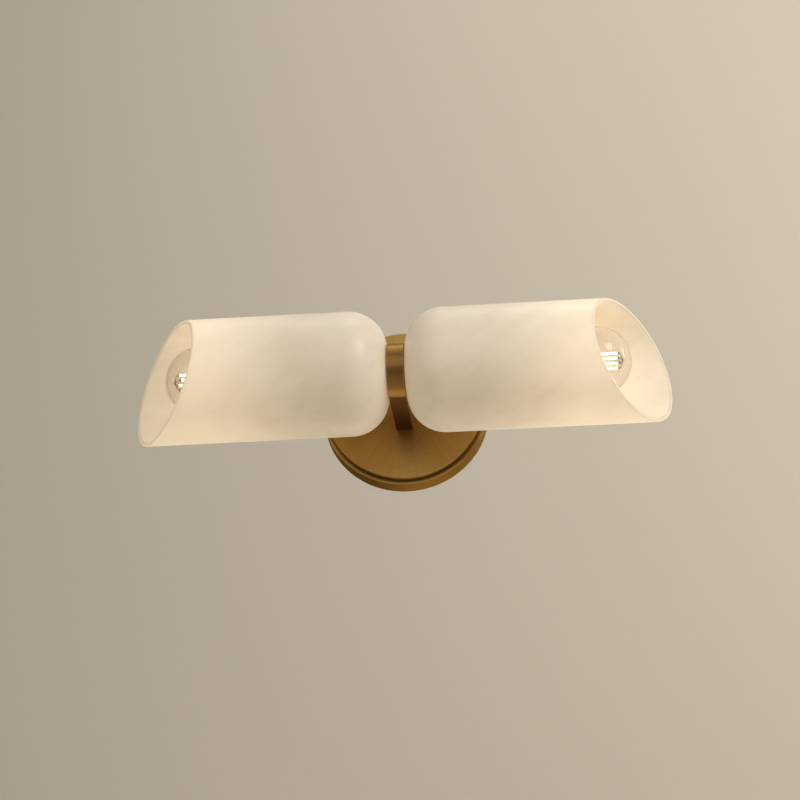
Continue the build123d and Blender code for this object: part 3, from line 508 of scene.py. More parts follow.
FINISHES = {
    "plain_brass": ((0.52, 0.33, 0.12), (0.66, 0.45, 0.19), 1.0, (0.22, 0.36), 6e-4, 1e-5),
    "zinc_steel": ((0.42, 0.43, 0.45), (0.60, 0.61, 0.62), 1.0, (0.28, 0.46), 9e-4, 1e-5),
    "nickel_cap": ((0.58, 0.55, 0.50), (0.72, 0.69, 0.63), 1.0, (0.18, 0.30), 7e-4, 1e-5),
    "tinned_copper": ((0.56, 0.52, 0.48), (0.70, 0.66, 0.62), 1.0, (0.25, 0.40), 5e-4, 1e-5),
    "solder": ((0.45, 0.45, 0.46), (0.62, 0.62, 0.63), 1.0, (0.30, 0.50), 6e-4, 3e-5),
    "support_wire": ((0.10, 0.085, 0.07), (0.20, 0.17, 0.14), 1.0, (0.30, 0.45), 4e-4, 1e-5),
    "green_screw": ((0.03, 0.19, 0.07), (0.05, 0.27, 0.10), 0.85, (0.25, 0.40), 6e-4, 1e-5),
    "green_insulation": ((0.02, 0.20, 0.06), (0.03, 0.27, 0.09), 0.0, (0.35, 0.50), 8e-4, 2e-5),
    "black_insulation": ((0.01, 0.01, 0.011), (0.022, 0.022, 0.024), 0.0, (0.35, 0.50), 8e-4, 2e-5),
    "white_insulation": ((0.66, 0.65, 0.62), (0.76, 0.75, 0.72), 0.0, (0.35, 0.50), 8e-4, 2e-5),
    "white_nylon": ((0.68, 0.66, 0.60), (0.78, 0.76, 0.70), 0.0, (0.35, 0.48), 8e-4, 2e-5),
    "connector_plastic": ((0.62, 0.16, 0.03), (0.74, 0.22, 0.05), 0.0, (0.35, 0.50), 9e-4, 2e-5),
    "phenolic": ((0.016, 0.013, 0.011), (0.034, 0.028, 0.024), 0.0, (0.28, 0.42), 1e-3, 2e-5),
    "cap_insulator": ((0.012, 0.01, 0.012), (0.03, 0.026, 0.028), 0.0, (0.08, 0.18), 1.2e-3, 2e-5),
    "black_rubber": ((0.012, 0.012, 0.012), (0.030, 0.029, 0.028), 0.0, (0.65, 0.85), 6e-4, 4e-5),
}
finish = {name: plain_finish(name, *values) for name, values in FINISHES.items()}
finish["antique_brass"] = canopy_brass
print("finishes:", sorted(finish))

# %% The tube's thread
TUBE_PITCH = 0.001
TUBE_PLAIN = 0.0066         # the thread begins this far from the middle


def threaded_tube():
    """Plain brass with a thread in its bump: a sine of the distance along the tube plus
    the turn about it, so that it climbs one pitch with each turn."""
    material, tree, place, parts = start("brass_threaded")
    x, y, z = parts
    turn = tree.math("ARCTAN2", z, y - AXIS_Y)
    ridge = tree.math("SINE", x * (2 * pi / TUBE_PITCH) + turn) * 0.5 + 0.5
    ridge = 1 - (1 - ridge) * x.size().rise(TUBE_PLAIN, TUBE_PLAIN + TUBE_PITCH)
    stain = grain(place, (1, 1, 1), 120, 3.0, 0.6)
    # The valleys are also darker in colour than the crests: painted shade in the thread.
    tone = ridge * 0.6 + stain * 0.4
    close(tree, tree.node("ShaderNodeBsdfPrincipled", None, {
        "Base Color": tone.mix(rgb(0.36, 0.22, 0.075), rgb(0.66, 0.45, 0.19)),
        "Metallic": 1.0,
        "Roughness": 0.26 + stain * 0.16,
        "Normal": bump(ridge, 0.8, 0.0004),
    }))
    return material


tube_brass = threaded_tube()

# %% [markdown]
# ## Glass
# The shades are milk glass with pale clouds and veins in it, satin to the touch. Light
# from the bulb soaks through them. Near the bulb they glow cream, and further in, where
# the socket cup keeps the light away, the glow fades.
# Real translucency alone would need far more samples than a still picture is worth, so
# the glow is written as emission that rises along the shade towards the bulb, and a
# share of translucency lets the lamps behind it show softly.

# %% Milk glass with the bulb's glow in it
GLOW = rgb(1.0, 0.81, 0.56)
GLOW_INSIDE = rgb(1.0, 0.88, 0.70)
GLOW_STRENGTH = 0.56
MILK = rgb(0.85, 0.81, 0.745)
MILK_SHADE = rgb(0.745, 0.69, 0.60)
RIM_MILK = rgb(0.52, 0.48, 0.41)
RIM_BAND = 0.0016           # how far back from the mouth the glass looks cut
GLOW_START = 0.050          # the glow rises between these distances from the middle
GLOW_FULL = 0.150


def milk_glass():
    """Marbled milk glass. How deep a point lies in the wall is the length of its way past
    the core of the rounded cylinder, along the axis and outwards: it is the end's radius
    on the outer face everywhere. The glow rises with the distance from the middle, is
    fuller on the outer face, and the rim itself is a darker, cut edge."""
    material, tree, place, parts = start("milk_glass")
    x, y, z = parts
    out = x.size()
    r = (z * z + (y - AXIS_Y) * (y - AXIS_Y)) ** 0.5
    past_corner = tree.math("MAXIMUM", GLASS_END + END_CORNER_R - out, 0.0)
    past_core = tree.math("MAXIMUM", r - (SHADE_R - END_CORNER_R), 0.0)
    wall_place = (past_corner * past_corner + past_core * past_core) ** 0.5
    outside = wall_place.rise(END_CORNER_R - GLASS_T, END_CORNER_R - GLASS_T / 2)
    forward = tan(MOUTH_SLANT) * cos(MOUTH_TURN)
    lift = tan(MOUTH_SLANT) * sin(MOUTH_TURN)
    from_rim = ((y - AXIS_Y) * forward - z * lift + MOUTH_X - out).rise(0, RIM_BAND)
    streaks = grain(place, (16, 34, 34), 1.0, 4.0, 0.6)
    veins = grain(place.node("ShaderNodeMapping", None, {
        "Vector": place,
        "Rotation": (0.0, radians(38), 0.0),
    }), (14, 60, 90), 1.0, 3.0, 0.55)
    marble = streaks * 0.5 + veins * 0.5
    milk = marble.rise(0.32, 0.66).mix(MILK_SHADE, MILK)
    near_bulb = out.rise(GLOW_START, GLOW_FULL)
    glow = (near_bulb * (0.38 + marble * 0.20) + 0.34) * (0.48 + outside * 0.52)
    shader = tree.node("ShaderNodeBsdfPrincipled", None, {
        "Base Color": from_rim.mix(RIM_MILK, milk),
        "Roughness": 0.40 + marble * 0.12,
        "IOR": 1.5,
        "Emission Color": glow.mix(rgb(0, 0, 0), outside.mix(GLOW_INSIDE, GLOW)),
        "Emission Strength": GLOW_STRENGTH,
        "Coat Weight": 0.15,
        "Coat Roughness": 0.3,
    })
    soaked = tree.node("ShaderNodeBsdfTranslucent", None, {"Color": rgb(0.86, 0.80, 0.70)})
    mixed = tree.node("ShaderNodeMixShader", None, {0: 0.35, 1: shader, 2: soaked})
    close(tree, mixed)
    return material


finish["opal_glass"] = milk_glass()


# %% [markdown]
# The bulbs' glass is clear and thin. A refracting shader needs many bounces and gives a
# noisy picture, while a real wall of 0.8 mm hardly bends what is seen through it. So the
# finish is a mix of a tinted see-through shader and a glossy one, and the mix follows
# the slant at which the glass is seen.

# %% Clear glass of the bulbs
def clear_glass(name, tint, haze, gloss):
    """Thin glass: it lets light straight through, tinted a little, and mirrors the room
    more where it is seen at a slant. haze is the least share that it mirrors."""
    material, tree, place, parts = start(name)
    swirl = grain(place, (1, 1, 1), 90, 2.0, 0.5)
    slant = tree.node("ShaderNodeLayerWeight", None, {"Blend": 0.35}, "Facing")
    mirror = tree.node("ShaderNodeBsdfPrincipled", None, {
        "Base Color": swirl.rise(0.2, 0.8).mix(rgb(0.80, 0.78, 0.74), rgb(0.90, 0.89, 0.86)),
        "Metallic": 0.0,
        "Roughness": gloss + swirl * 0.04,
        "Specular IOR Level": 1.0,
    })
    through = tree.node("ShaderNodeBsdfTransparent", None, {"Color": tint})
    edge = tree.node("ShaderNodeBsdfTransparent", None, {"Color": rgb(0.50, 0.43, 0.34)})
    outline = slant.rise(0.62, 1.0)
    body = tree.node("ShaderNodeMixShader", None, {0: outline, 1: through, 2: edge})
    share = haze + slant ** 3.0 * 0.40
    close(tree, tree.node("ShaderNodeMixShader", None, {0: share, 1: body, 2: mirror}))
    return material


finish["clear_glass"] = clear_glass("clear_glass", rgb(0.965, 0.955, 0.94), 0.10, 0.03)
finish["stem_glass"] = clear_glass("stem_glass", rgb(0.88, 0.87, 0.84), 0.16, 0.06)


# %% The lit filaments
def filament_glow():
    """A phosphor coat with its row of chips: amber where it is thin, white where lit."""
    material, tree, place, parts = start("filament")
    tone = tree.math("SINE", parts[0] * (2 * pi / CHIP_PITCH)) * 0.5 + 0.5
    shader = tree.node("ShaderNodeBsdfPrincipled", None, {
        "Base Color": tone.mix(rgb(0.95, 0.62, 0.18), rgb(1.0, 0.80, 0.45)),
        "Roughness": 0.5 + tone * 0.2,
        "Emission Color": tone.mix(rgb(1.0, 0.62, 0.25), rgb(1.0, 0.80, 0.52)),
        "Emission Strength": 9.0,
    })
    close(tree, shader)
    return material


finish["filament"] = filament_glow()

# %% [markdown]
# ## The shades
# Each shade is blown into a cylinder, its closed end rounded, and its open end cut on
# the slant and fire-polished. The wall is one closed loop of (along, radius) points that
# is turned about the axis. Only the mouth is not round: its distance along the axis is
# the slanted plane's, so it changes with the cosine of the turn.

# %% The glass wall
def mouth(r, turn):
    """Where the mouth's plane meets a line parallel to the axis."""
    return MOUTH_X + r * tan(MOUTH_SLANT) * np.cos(turn + MOUTH_TURN)


def shade_wall(side, columns=216):
    """Rows from the hole in the closed end, over the outside, round the rim and back
    along the inside. All rows have one point for each column."""
    turn = turns(columns)
    corner = (GLASS_END + END_CORNER_R, SHADE_R - END_CORNER_R)
    inner_r = SHADE_R - GLASS_T
    outside = arc(corner, END_CORNER_R, 180, 90, 28)
    inside = arc(corner, END_CORNER_R - GLASS_T, 90, 180, 28)
    outer_rim = np.stack([mouth(SHADE_R, turn), np.full(columns, SHADE_R)], -1)
    inner_rim = np.stack([mouth(inner_r, turn), np.full(columns, inner_r)], -1)

    def row(point):
        return np.broadcast_to(np.asarray(point, float), (columns, 2))

    def rows(points):
        return np.repeat(points[:, None, :], columns, 1)

    outer = (row(outside[-1]), outer_rim, inner_rim)
    inner = (outer_rim, inner_rim, row(inside[0]))
    outer_round = soft_corner(*outer, reach(*outer, RIM_R), 8)
    inner_round = soft_corner(*inner, reach(*inner, RIM_R), 8)
    hole_outside = row((GLASS_END, GLASS_HOLE_R))
    hole_inside = row((GLASS_END + GLASS_T, GLASS_HOLE_R))
    section = np.concatenate([
        hole_outside[None],
        between(hole_outside, row(outside[0]), 4),
        rows(outside),
        between(row(outside[-1]), outer_round[0], 60),
        outer_round,
        inner_round,
        between(inner_round[-1], row(inside[0]), 60),
        rows(inside),
        between(row(inside[-1]), hole_inside, 4),
        hole_inside[None],
    ])
    return around("X", (0, AXIS_Y, 0), side * section[..., 0], section[..., 1], columns)


for side_name, side in SIDES.items():
    glass = f"shade_{side_name}"
    wall = skin(shade_wall(side), ring=True)
    make(f"{glass}_glass", [wall], finish["opal_glass"], glass, [glass])

# %% [markdown]
# ## The bulbs
# A clear globe on a small screw cap, with four straight filaments in it. The globe is a
# sphere that flows into its neck through a hollow blend, and the wall is the same line
# again, one wall's thickness inside. The cap's thread is a wave rolled into sheet metal:
# a radius that rises and falls along the axis, and is shifted by the turn.

# %% Globe and stem
def globe_line(inset):
    """The globe's outline from its tip to its neck, moved inwards by an inset."""
    neck_r, blend_r, globe_r = NECK_R - inset, NECK_BLEND_R + inset, GLOBE_R - inset
    blend_y = neck_r + blend_r
    blend_x = GLOBE_X - sqrt((globe_r + blend_r) ** 2 - blend_y**2)
    meeting = np.degrees(atan2(blend_y, blend_x - GLOBE_X))
    ball = arc((GLOBE_X, 0), globe_r, 1, meeting, 64)
    blend = arc((blend_x, blend_y), blend_r, meeting - 180, -90, 14)
    return np.concatenate([ball, blend[1:], [[NECK_END, neck_r]]])


STEM_START, STEM_TIP = span("bulb_stem")
STEM_FOOT_R = 0.0042
STEM_TOP_R = 0.0022
STEM_WAIST = 0.0009         # how far the stem is pinched between foot and top
STEM_ROD_R = 0.001
STEM_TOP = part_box("bulb_supports_right")[0].x


def stem_line():
    """The flare that closes the neck, the pinched stem, and the rod with a round tip."""
    flare = [(STEM_START, 0.0006), (STEM_START, NECK_R), (NECK_END, NECK_R)]
    t = np.linspace(0, 1, 16)
    waist = STEM_FOOT_R + (STEM_TOP_R - STEM_FOOT_R) * t - STEM_WAIST * np.sin(pi * t)
    stem = np.stack([NECK_END + (STEM_TOP - NECK_END) * t, waist], -1)
    shoulder = [(STEM_TOP + 0.0005, 0.0014), (STEM_TOP + 0.0012, STEM_ROD_R)]
    tip = arc((STEM_TIP - STEM_ROD_R, 0), STEM_ROD_R, 90, 4, 7)
    return np.concatenate([flare, stem, shoulder, tip])


for side_name, side in SIDES.items():
    bulb = f"bulb_{side_name}"
    both_walls = np.concatenate([globe_line(0.0), globe_line(GLOBE_WALL)[::-1]])
    globe = skin(turned(both_walls, side), poles=(True, True))
    make(f"{bulb}_clear_globe", [globe], finish["clear_glass"], bulb,
         [f"bulb_globe_{side_name}"])
    stem = skin(turned(stem_line(), side), poles=(True, True))
    make(f"{bulb}_glass_stem", [stem], finish["stem_glass"], bulb,
         [f"bulb_stem_{side_name}"])

# %% [markdown]
# Each filament is a thin rod with a row of chips under a phosphor coat. Two rings on the
# glass rod carry them, with one curved wire for each filament end. A curve with a bevel
# would do for the wires. Rings of points square to a path give the same tube as a mesh,
# so that all of one bulb's wires are one piece.

# %% Filaments and the wires that hold them
CHIP_SWELL = 0.00006
SUPPORT_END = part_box("bulb_supports_right")[1].x
SUPPORT_R = 0.00032
HUB_R = 0.0018
HUB_T = 0.0006
TAB_R = 0.00098
TAB_REACH = 0.0009          # half of a tab's length


def filament_centres(side):
    """Where the filaments stand round the rod, as seen along the axis."""
    turn = FILAMENT_PHASE + turns(FILAMENTS)
    forward = AXIS_Y + side * FILAMENT_CIRCLE_R * np.cos(turn)
    return np.stack([forward, FILAMENT_CIRCLE_R * np.sin(turn)], -1)


def capped(along, run, least):
    """1 in the middle of a rod, and a quarter circle down to a least share at its ends."""
    from_end = np.minimum(along - along[0], along[-1] - along) / run
    return np.sqrt(np.clip(1 - (1 - np.clip(from_end, 0, 1)) ** 2, least, 1))


def filament(side, centre):
    """A rod with round ends that swells a little over each of its chips."""
    along = np.linspace(FILAMENT_X, FILAMENT_END, 120)
    swell = CHIP_SWELL * (np.cos(2 * pi * along / CHIP_PITCH) - 1)
    r = (FILAMENT_R + swell) * capped(along, FILAMENT_R, 0.01)
    points = around("X", (0, *centre), side * along[:, None], r[:, None], 16)
    return skin(points, poles=(True, True))


def wire(path, r, columns=10):
    """A round wire along a path of points: rings square to the path, closed at both ends.
    Each ring's two directions are cross products of the path's direction."""
    path = np.asarray(path, float)
    ahead = np.gradient(path, axis=0)
    ahead /= np.linalg.norm(ahead, axis=1, keepdims=True)
    helper = np.array([0.577, 0.577, 0.577])
    first = np.cross(ahead, helper)
    first /= np.linalg.norm(first, axis=1, keepdims=True)
    second = np.cross(ahead, first)
    turn = turns(columns)[None, :, None]
    ring = first[:, None] * np.cos(turn) + second[:, None] * np.sin(turn)
    return skin(path[:, None] + ring * r, poles=(True, True))


def support(side, centre, hub_x, tip_x):
    """A wire from the rod at hub_x out to a filament's end at tip_x: a quarter ellipse
    that leaves the rod square and meets the filament straight."""
    t = np.linspace(0, pi / 2, 14)[:, None]
    rod = np.array([0, AXIS_Y, 0])
    offset = np.array([0, centre[0] - AXIS_Y, centre[1]])
    along = hub_x + (tip_x - hub_x) * (1 - np.cos(t))
    return wire(rod + offset * np.sin(t) + np.array([side, 0, 0]) * along, SUPPORT_R)


def tab(side, centre, x):
    """The metal end that is crimped on a filament: a short sleeve with round ends."""
    along = np.linspace(x - TAB_REACH, x + TAB_REACH, 13)
    r = TAB_R * capped(along, 0.0004, 0.1)
    points = around("X", (0, *centre), side * along[:, None], r[:, None], 16)
    return skin(points, poles=(True, True))


def hub(side, x):
    """The small ring on the rod that the wires are welded to."""
    bore, end = STEM_ROD_R + 0.00005, x + HUB_T
    ring = soft_profile([(x, bore), (x, HUB_R), (end, HUB_R), (end, bore)], 0.00015, 3)
    return skin(around("X", (0, AXIS_Y, 0), side * ring[:, :1], ring[:, 1:], 32), ring=True)


for side_name, side in SIDES.items():
    bulb = f"bulb_{side_name}"
    centres = filament_centres(side)
    rods = [filament(side, centre) for centre in centres]
    make(f"{bulb}_lit_filaments", rods, finish["filament"], bulb,
         [f"bulb_filaments_{side_name}"])
    frame_wires = [hub(side, STEM_TOP), hub(side, SUPPORT_END - HUB_T)]
    for centre in centres:
        frame_wires.append(support(side, centre, STEM_TOP + HUB_T / 2, FILAMENT_X))
        frame_wires.append(support(side, centre, SUPPORT_END - HUB_T / 2, FILAMENT_END))
        frame_wires += [tab(side, centre, end) for end in (FILAMENT_X, FILAMENT_END)]
    make(f"{bulb}_support_wires", frame_wires, finish["support_wire"], bulb,
         [f"bulb_supports_{side_name}"])

# %% [markdown]
# The cap and the shell that it screws into are rolled from thin sheet, so their thread
# is a soft wave and not a sharp cut. A Screw modifier could sweep it, but a wave in the
# radius keeps the sheet closed and its ends plain.

# %% The bulbs' screw caps
LAMP_PITCH = 0.00254
CAP_X, CAP_END = span("bulb_cap")
CAP_THREAD_LENGTH = 0.010
CAP_THREAD_R = 0.0059
CAP_SKIRT_R = 0.0069
CAP_SHEET = 0.0004
THREAD_RUN = 0.0012         # over which a rolled thread begins and ends
CAP_HOLE_R = 0.0042
CAP_WAVE = 0.0005           # how deep the thread is rolled
CAP_FLARE = 0.0010          # length of the slope from thread to skirt


def screw_cap(side):
    """Threaded barrel, a flare and a plain skirt, then back along the inside."""
    turn = turns()
    thread_end = CAP_X + CAP_THREAD_LENGTH
    along = np.linspace(CAP_X + 0.0005, thread_end, 96)[:, None]
    depth = CAP_WAVE * fade(along, CAP_X + 0.0005, thread_end, THREAD_RUN)
    barrel = CAP_THREAD_R - depth * (1 - wave(along, LAMP_PITCH, side * turn))
    steps = np.linspace(0, 1, 10)[1:, None]
    flare_along = thread_end + CAP_FLARE * steps
    flare = CAP_THREAD_R + (CAP_SKIRT_R - CAP_THREAD_R) * smooth(steps, 0, 1)
    columns = len(turn)
    ones = np.ones((1, columns))
    inside = np.array([
        (CAP_END - 0.0001, CAP_SKIRT_R), (CAP_END, CAP_SKIRT_R - 0.0001),
        (CAP_END, CAP_SKIRT_R - CAP_SHEET), (thread_end + 0.0009, CAP_SKIRT_R - CAP_SHEET),
        (thread_end, CAP_THREAD_R - 0.0009), (CAP_X + CAP_SHEET, CAP_THREAD_R - 0.0009),
        (CAP_X + CAP_SHEET, CAP_HOLE_R), (CAP_X, CAP_HOLE_R), (CAP_X, CAP_THREAD_R - 0.0005),
    ])
    rows_along = np.concatenate([along * ones, flare_along * ones, inside[:, :1] * ones])
    rows_r = np.concatenate([barrel, flare * ones, inside[:, 1:] * ones])
    return skin(shade_line(rows_along, rows_r, side), ring=True)


SHELL_X, SHELL_END = span("screw_shell")
SHELL_INNER_R = 0.0062
SHELL_OUTER_R = 0.0067
SHELL_HOLE_R = 0.004


def screw_shell(side):
    """The socket's thin threaded shell: the same wave on both faces of the sheet."""
    turn = turns()
    along = np.linspace(SHELL_X + 0.0003, SHELL_END, 96)[:, None]
    crest = wave(along, LAMP_PITCH, side * turn) * fade(along, SHELL_X, SHELL_END, THREAD_RUN)
    bore = SHELL_INNER_R + 0.00024 * crest
    skin_r = SHELL_OUTER_R - 0.00020 * (1 - crest)
    hole = SHELL_HOLE_R
    base = np.array([(SHELL_X, SHELL_OUTER_R - 0.0002), (SHELL_X, hole), (SHELL_X + 0.0003, hole)])
    ones = np.ones((1, len(turn)))
    rows_along = np.concatenate([along[::-1] * ones, base[:, :1] * ones, along * ones])
    rows_r = np.concatenate([skin_r[::-1], base[:, 1:] * ones, bore])
    return skin(shade_line(rows_along, rows_r, side), ring=True)


for side_name, side in SIDES.items():
    bulb = f"bulb_{side_name}"
    make(f"{bulb}_screw_cap", [screw_cap(side)], finish["nickel_cap"], bulb,
         [f"bulb_cap_{side_name}"], sharp=50)
    make(f"socket_thread_{side_name}", [screw_shell(side)], finish["plain_brass"], "root",
         [f"screw_shell_{side_name}"], sharp=50)

# %% [markdown]
# ## Screws
# The heads of the screws inside the canopy can be seen from the wall's side, and those
# in its rim from left and right. Each has a real recess. It could be cut with a Boolean
# modifier, but a head is only a height over a disc, so the recess is a part of the
# formula: the height drops inside one slot, or inside two that cross.

# %% One function for all screws
def slot_mask(across, along, half_width, half_length):
    """1 inside a slot, 0 outside it, with sloping walls."""
    sides = 1 - smooth(np.abs(across), half_width * 0.8, half_width * 1.2)
    ends = 1 - smooth(np.abs(along), half_length * 0.85, half_length)
    return sides * ends


def screw(axis, seat, outward, head, shank, pitch, crossed, columns=144):
    """A screw on an axis. seat is the point under its head, and outward the direction of
    the head from there. The shank's radius waves with the thread, and the head's side is
    a quarter ellipse. The top is a height over a disc, less the depth of the recess."""
    head_r, head_t = head
    shank_r, length = shank
    turn = turns(columns)
    ones = np.ones((1, columns))
    along = np.linspace(-length, -0.0002, 14 + int(10 * length / pitch))[:, None]
    depth = 0.5 * pitch * smooth(along, -0.0004, -0.0004 - pitch)
    point = 0.3 * pitch * smooth(along, pitch - length, -length)
    thread = shank_r - depth * (1 - wave(along, pitch, turn)) - point
    t = np.linspace(0, pi / 2, 9)[:, None]
    dome_along = head_t * (0.35 + 0.65 * np.sin(t))
    dome_r = head_r - 0.6 * head_t * (1 - np.cos(t))
    r = np.linspace(1, 0.02, 40)[1:, None] * dome_r[-1]
    one, two = r * np.cos(turn), r * np.sin(turn)
    half_width, half_length = head_r * 0.11, head_r * (0.62 if crossed else 2.0)
    recess = slot_mask(one, two, half_width, half_length)
    if crossed:
        recess = np.maximum(recess, slot_mask(two, one, half_width, half_length))
    top = head_t * (1 - 0.55 * recess)
    rows_along = np.concatenate([along * ones, 0 * ones, 0.0001 * ones, dome_along * ones, top])
    rows_r = np.concatenate([
        thread, (head_r - 0.0001) * ones, head_r * ones, dome_r * ones, r * ones])
    return skin(around(axis, seat, outward * rows_along, rows_r, columns), poles=(True, True))


SCREW_PITCH = 0.0007
ARM_HEAD_T = 0.0026
low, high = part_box("arm_screws")
arm_head = (high.x, ARM_HEAD_T)
arm_shank = (0.002, high.y - ARM_HEAD_T - low.y)
arm_seats = [(0, high.y - ARM_HEAD_T, end * (high.z - high.x)) for end in (-1, 1)]
heads = [screw("Y", seat, 1, arm_head, arm_shank, SCREW_PITCH, True) for seat in arm_seats]
make("arm_screw_pair", heads, finish["zinc_steel"], "root", ["arm_screws"])

GROUND_HEAD_T = 0.002
low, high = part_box("ground_screw")
ground_seat = ((low.x + high.x) / 2, low.y + GROUND_HEAD_T, 0)
ground_shank = (0.002, high.y - ground_seat[1])
ground = screw("Y", ground_seat, -1, (high.z, GROUND_HEAD_T), ground_shank, SCREW_PITCH, True)
make("grounding_screw", [ground], finish["green_screw"], "root", ["ground_screw"])

SIDE_HEAD_T = 0.002
SIDE_SHANK = (0.0016, 0.0066)
low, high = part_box("canopy_side_screws")
side_head = (high.z, SIDE_HEAD_T)
side_y, side_z = (low.y + high.y) / 2, (low.z + high.z) / 2
heads = [
    screw("X", (side * CANOPY_R, side_y, side_z), side, side_head, SIDE_SHANK, SCREW_PITCH, False)
    for side in SIDES.values()
]
make("rim_screws", heads, canopy_brass, "root", ["canopy_side_screws"])

# %% [markdown]
# ## Wire connectors and the ground lead
# Two twist-on connectors join the lamp's leads to the house wiring, and a green lead
# joins the arm to the crossbar. The connectors are moulded: a cone with ribs to grip,
# a soft mouth and a well for the wires. The lead is a wire of fixed length that hangs
# between two eyelets, so it is one smooth spline.

# %% Ribbed connectors
CONNECTOR_WELL_R = 0.0039
CONNECTOR_WELL = 0.009
CONNECTOR_TIP_R = 0.0036
CONNECTOR_RIBS = 10
CONNECTOR_RIB = 0.0005


def connector(x, y, mouth_z, tip_z, mouth_r, columns=160):
    """A cone with ribs: its radius shrinks evenly from mouth to tip, less a rib's depth
    times a power of the cosine of the turn. Then the round tip and the well inside."""
    turn = turns(columns)
    ones = np.ones((1, columns))
    lip = arc((mouth_z + 0.0006, mouth_r - 0.0006), 0.0006, 180, 90, 6)
    along = np.linspace(mouth_z + 0.0008, tip_z - 0.0016, 60)[:, None]
    cone = mouth_r + (CONNECTOR_TIP_R - mouth_r) * (along - mouth_z) / (tip_z - mouth_z)
    valley = 1 - np.abs(np.cos(turn * CONNECTOR_RIBS / 2)) ** 0.7
    ribbed = cone - CONNECTOR_RIB * valley * fade(along, mouth_z + 0.002, tip_z - 0.0016, 0.002)
    tip = arc((tip_z - 0.0016, cone[-1, 0] - 0.0016), 0.0016, 90, 0, 8)[1:]
    well = np.array([
        (mouth_z + CONNECTOR_WELL, 0.0004), (mouth_z + CONNECTOR_WELL, CONNECTOR_WELL_R - 0.0006),
        (mouth_z + CONNECTOR_WELL - 0.0006, CONNECTOR_WELL_R), (mouth_z + 0.0008, CONNECTOR_WELL_R),
        (mouth_z, CONNECTOR_WELL_R + 0.0006)])
    rows_along = np.concatenate([
        well[:, :1] * ones, lip[:, :1] * ones, along * ones, tip[:, :1] * ones])
    rows_r = np.concatenate([well[:, 1:] * ones, lip[:, 1:] * ones, ribbed, tip[:, 1:] * ones])
    return skin(around("Z", (x, y, 0), rows_along, rows_r, columns), poles=(True, True))


low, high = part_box("wire_connectors")
connector_r = (high.y - low.y) / 2
cones = [
    connector(side * (high.x - connector_r), (low.y + high.y) / 2, low.z, high.z, connector_r)
    for side in SIDES.values()
]
make("twist_connectors", cones, finish["connector_plastic"], "root",
     ["wire_connectors"], sharp=60)

# %% The ground lead
LEAD_DIAMETER = 0.0018
GROUND_ROUTE = [
    (0.0, -0.0150, -0.0200), (0.0, -0.0150, -0.0318), (0.0105, -0.0097, -0.0318),
    (0.0240, -0.0029, -0.0318), (0.0240, -0.0029, -0.0060)]

curve = bpy.data.curves.new("green_ground_lead", "CURVE")
curve.dimensions = "3D"
curve.bevel_depth = LEAD_DIAMETER / 2
curve.bevel_resolution = 6
curve.use_fill_caps = True
spline = curve.splines.new("NURBS")
spline.points.add(len(GROUND_ROUTE) - 1)
for point, at in zip(spline.points, GROUND_ROUTE):
    point.co = (*at, 1)
spline.order_u = 3
spline.use_endpoint_u = True
spline.resolution_u = 24
curve.materials.append(finish["green_insulation"])
ground_lead = bpy.data.objects.new("green_ground_lead", curve)
bpy.context.scene.collection.objects.link(ground_lead)
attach(ground_lead, "root")
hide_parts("ground_lead")
print("ground lead points:", len(GROUND_ROUTE))

# %% [markdown]
# ## Stage, light and room
# The floor runs up into a pale backdrop through one wide curve, so no corner shows. A real
# wall behind the lamp would hide it from the back, so the backdrop stands well away.

# %% Floor and backdrop in one sheet
FLOOR_Z = -1.35
BACKDROP_Y = 1.7
COVE_R = 0.8
STAGE_WIDTH = 30.0

cove = arc((0, 0), COVE_R, -90, 0, 24) + (BACKDROP_Y - COVE_R, FLOOR_Z + COVE_R)
profile = np.vstack([(-15.0, FLOOR_Z), cove, (BACKDROP_Y, 8.0)])
across = np.linspace(-STAGE_WIDTH / 2, STAGE_WIDTH / 2, 2)
sheet = np.stack(np.broadcast_arrays(across, profile[:, :1], profile[:, 1:]), -1)
number = np.arange(sheet.size // 3).reshape(sheet.shape[:2])
quads = np.stack((number[:-1, 0], number[:-1, 1], number[1:, 1], number[1:, 0]), -1)
floor_mesh = bpy.data.meshes.new("floor")
floor_mesh.from_pydata(sheet.reshape(-1, 3).tolist(), [], quads.tolist())
floor_mesh.polygons.foreach_set("use_smooth", np.ones(len(quads), bool))
floor = bpy.data.objects.new("floor", floor_mesh)
bpy.context.scene.collection.objects.link(floor)

material, tree, place, parts = start("pale_paint")
speckle = grain(place, (1, 1, 1), 60, 3.0, 0.6)
close(tree, tree.node("ShaderNodeBsdfPrincipled", None, {
    "Base Color": speckle.mix(rgb(0.54, 0.50, 0.42), rgb(0.56, 0.52, 0.44)),
    "Roughness": 0.9,
    "Normal": bump(speckle, 0.3, 0.0005),
}))
floor_mesh.materials.append(material)

# %% [markdown]
# The key comes from the right and above, as in the photograph. The others are weak: they
# lift the shadows and give the round end of the arm the bands that brass shows. Two more
# wash the backdrop, and a tiny lamp in each bulb lights the shade from inside.

# %% Lamps
def softbox(name, place, target, size, power, colour):
    """A square soft light that faces a target."""
    lamp = bpy.data.objects.new(name, bpy.data.lights.new(name, "AREA"))
    lamp.data.size = size
    lamp.data.energy = power
    lamp.data.color = colour
    aim = (Vector(target) - Vector(place)).to_track_quat("-Z", "Y")
    lamp.matrix_world = Matrix.Translation(place) @ aim.to_matrix().to_4x4()
    lamp.visible_camera = False
    bpy.context.scene.collection.objects.link(lamp)


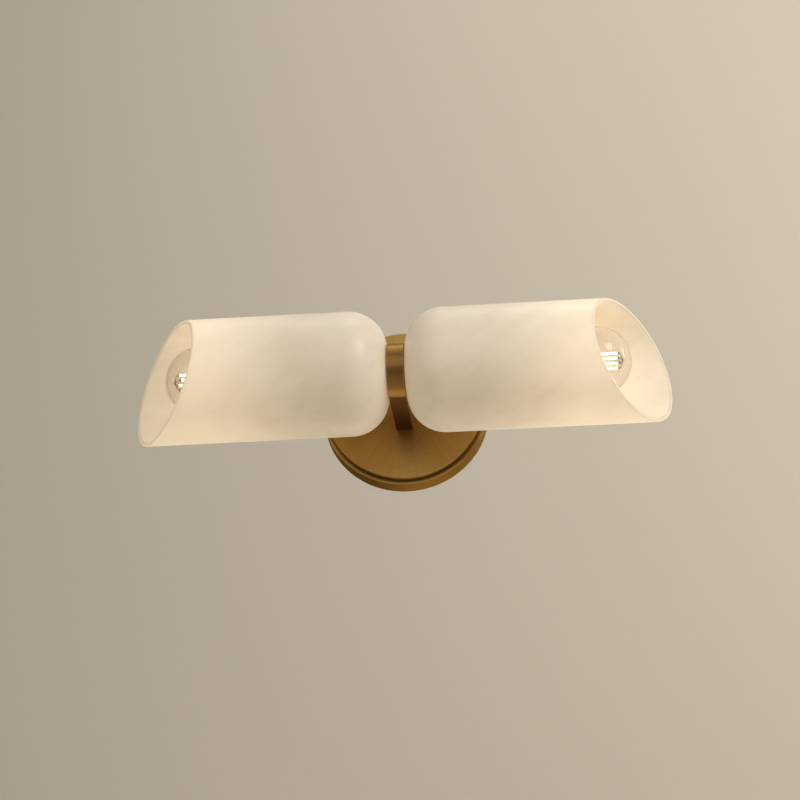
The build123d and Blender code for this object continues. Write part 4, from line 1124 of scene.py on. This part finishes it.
LAMP_MIDDLE = (0, AXIS_Y, 0)
softbox("key", (1.6, -1.7, 1.1), LAMP_MIDDLE, 0.9, 38.5, (1.0, 0.96, 0.89))
softbox("top", (-0.2, -0.35, 1.9), LAMP_MIDDLE, 1.2, 3.5, (1.0, 0.98, 0.95))
softbox("front", (0.1, -2.8, 1.0), LAMP_MIDDLE, 2.2, 11, (1.0, 0.96, 0.90))
softbox("fill", (-1.8, -1.0, -0.1), LAMP_MIDDLE, 1.4, 6, (1.0, 0.93, 0.84))
softbox("below", (0.3, 0.35, -1.25), LAMP_MIDDLE, 1.1, 4, (1.0, 0.88, 0.74))
softbox("low_back", (0.2, 1.0, -0.8), LAMP_MIDDLE, 1.0, 2.5, (1.0, 0.86, 0.68))
softbox("back", (0.4, 1.5, 0.3), LAMP_MIDDLE, 1.4, 4, (1.0, 0.95, 0.88))
softbox("wash_right", (2.8, 0.3, 1.1), (2.1, BACKDROP_Y, 1.0), 1.0, 62, (1.0, 0.96, 0.90))
softbox("wash_top", (0.2, 0.4, 2.6), (0.2, BACKDROP_Y, 1.3), 1.0, 13, (1.0, 0.96, 0.90))

for side_name, side in SIDES.items():
    name = f"glow_{side_name}"
    glow = bpy.data.objects.new(name, bpy.data.lights.new(name, "POINT"))
    glow.data.energy = 0.008
    glow.data.color = (1.0, 0.87, 0.72)
    glow.data.shadow_soft_size = 0.010
    glow.location = (side * GLOBE_X, AXIS_Y, 0)
    bpy.context.scene.collection.objects.link(glow)

world = bpy.data.worlds.new("room")
world.use_nodes = True
background = world.node_tree.nodes["Background"]
background.inputs["Color"].default_value = rgb(0.90, 0.86, 0.80)
background.inputs["Strength"].default_value = 0.18
bpy.context.scene.world = world
bpy.context.scene.view_settings.view_transform = "Standard"
print("lamps:", len(bpy.data.lights))

# %% [markdown]
# ## Dressing the carried-over pieces
# The solids whose shape is right stay, and only get a finish. The record names the slot
# of each one, so one loop dresses them all, and the arm and the tube get their own.

# %% Finishes for the solids
def dress(name, paint):
    """Gives every slot of a solid one finish."""
    for index in range(len(nodes[name].data.materials)):
        nodes[name].data.materials[index] = paint


for part in frame["record"]["subparts"]:
    dress(part["node"], finish[part["material_slot"]])
dress("arm", arm_brass)
dress("cross_tube", tube_brass)
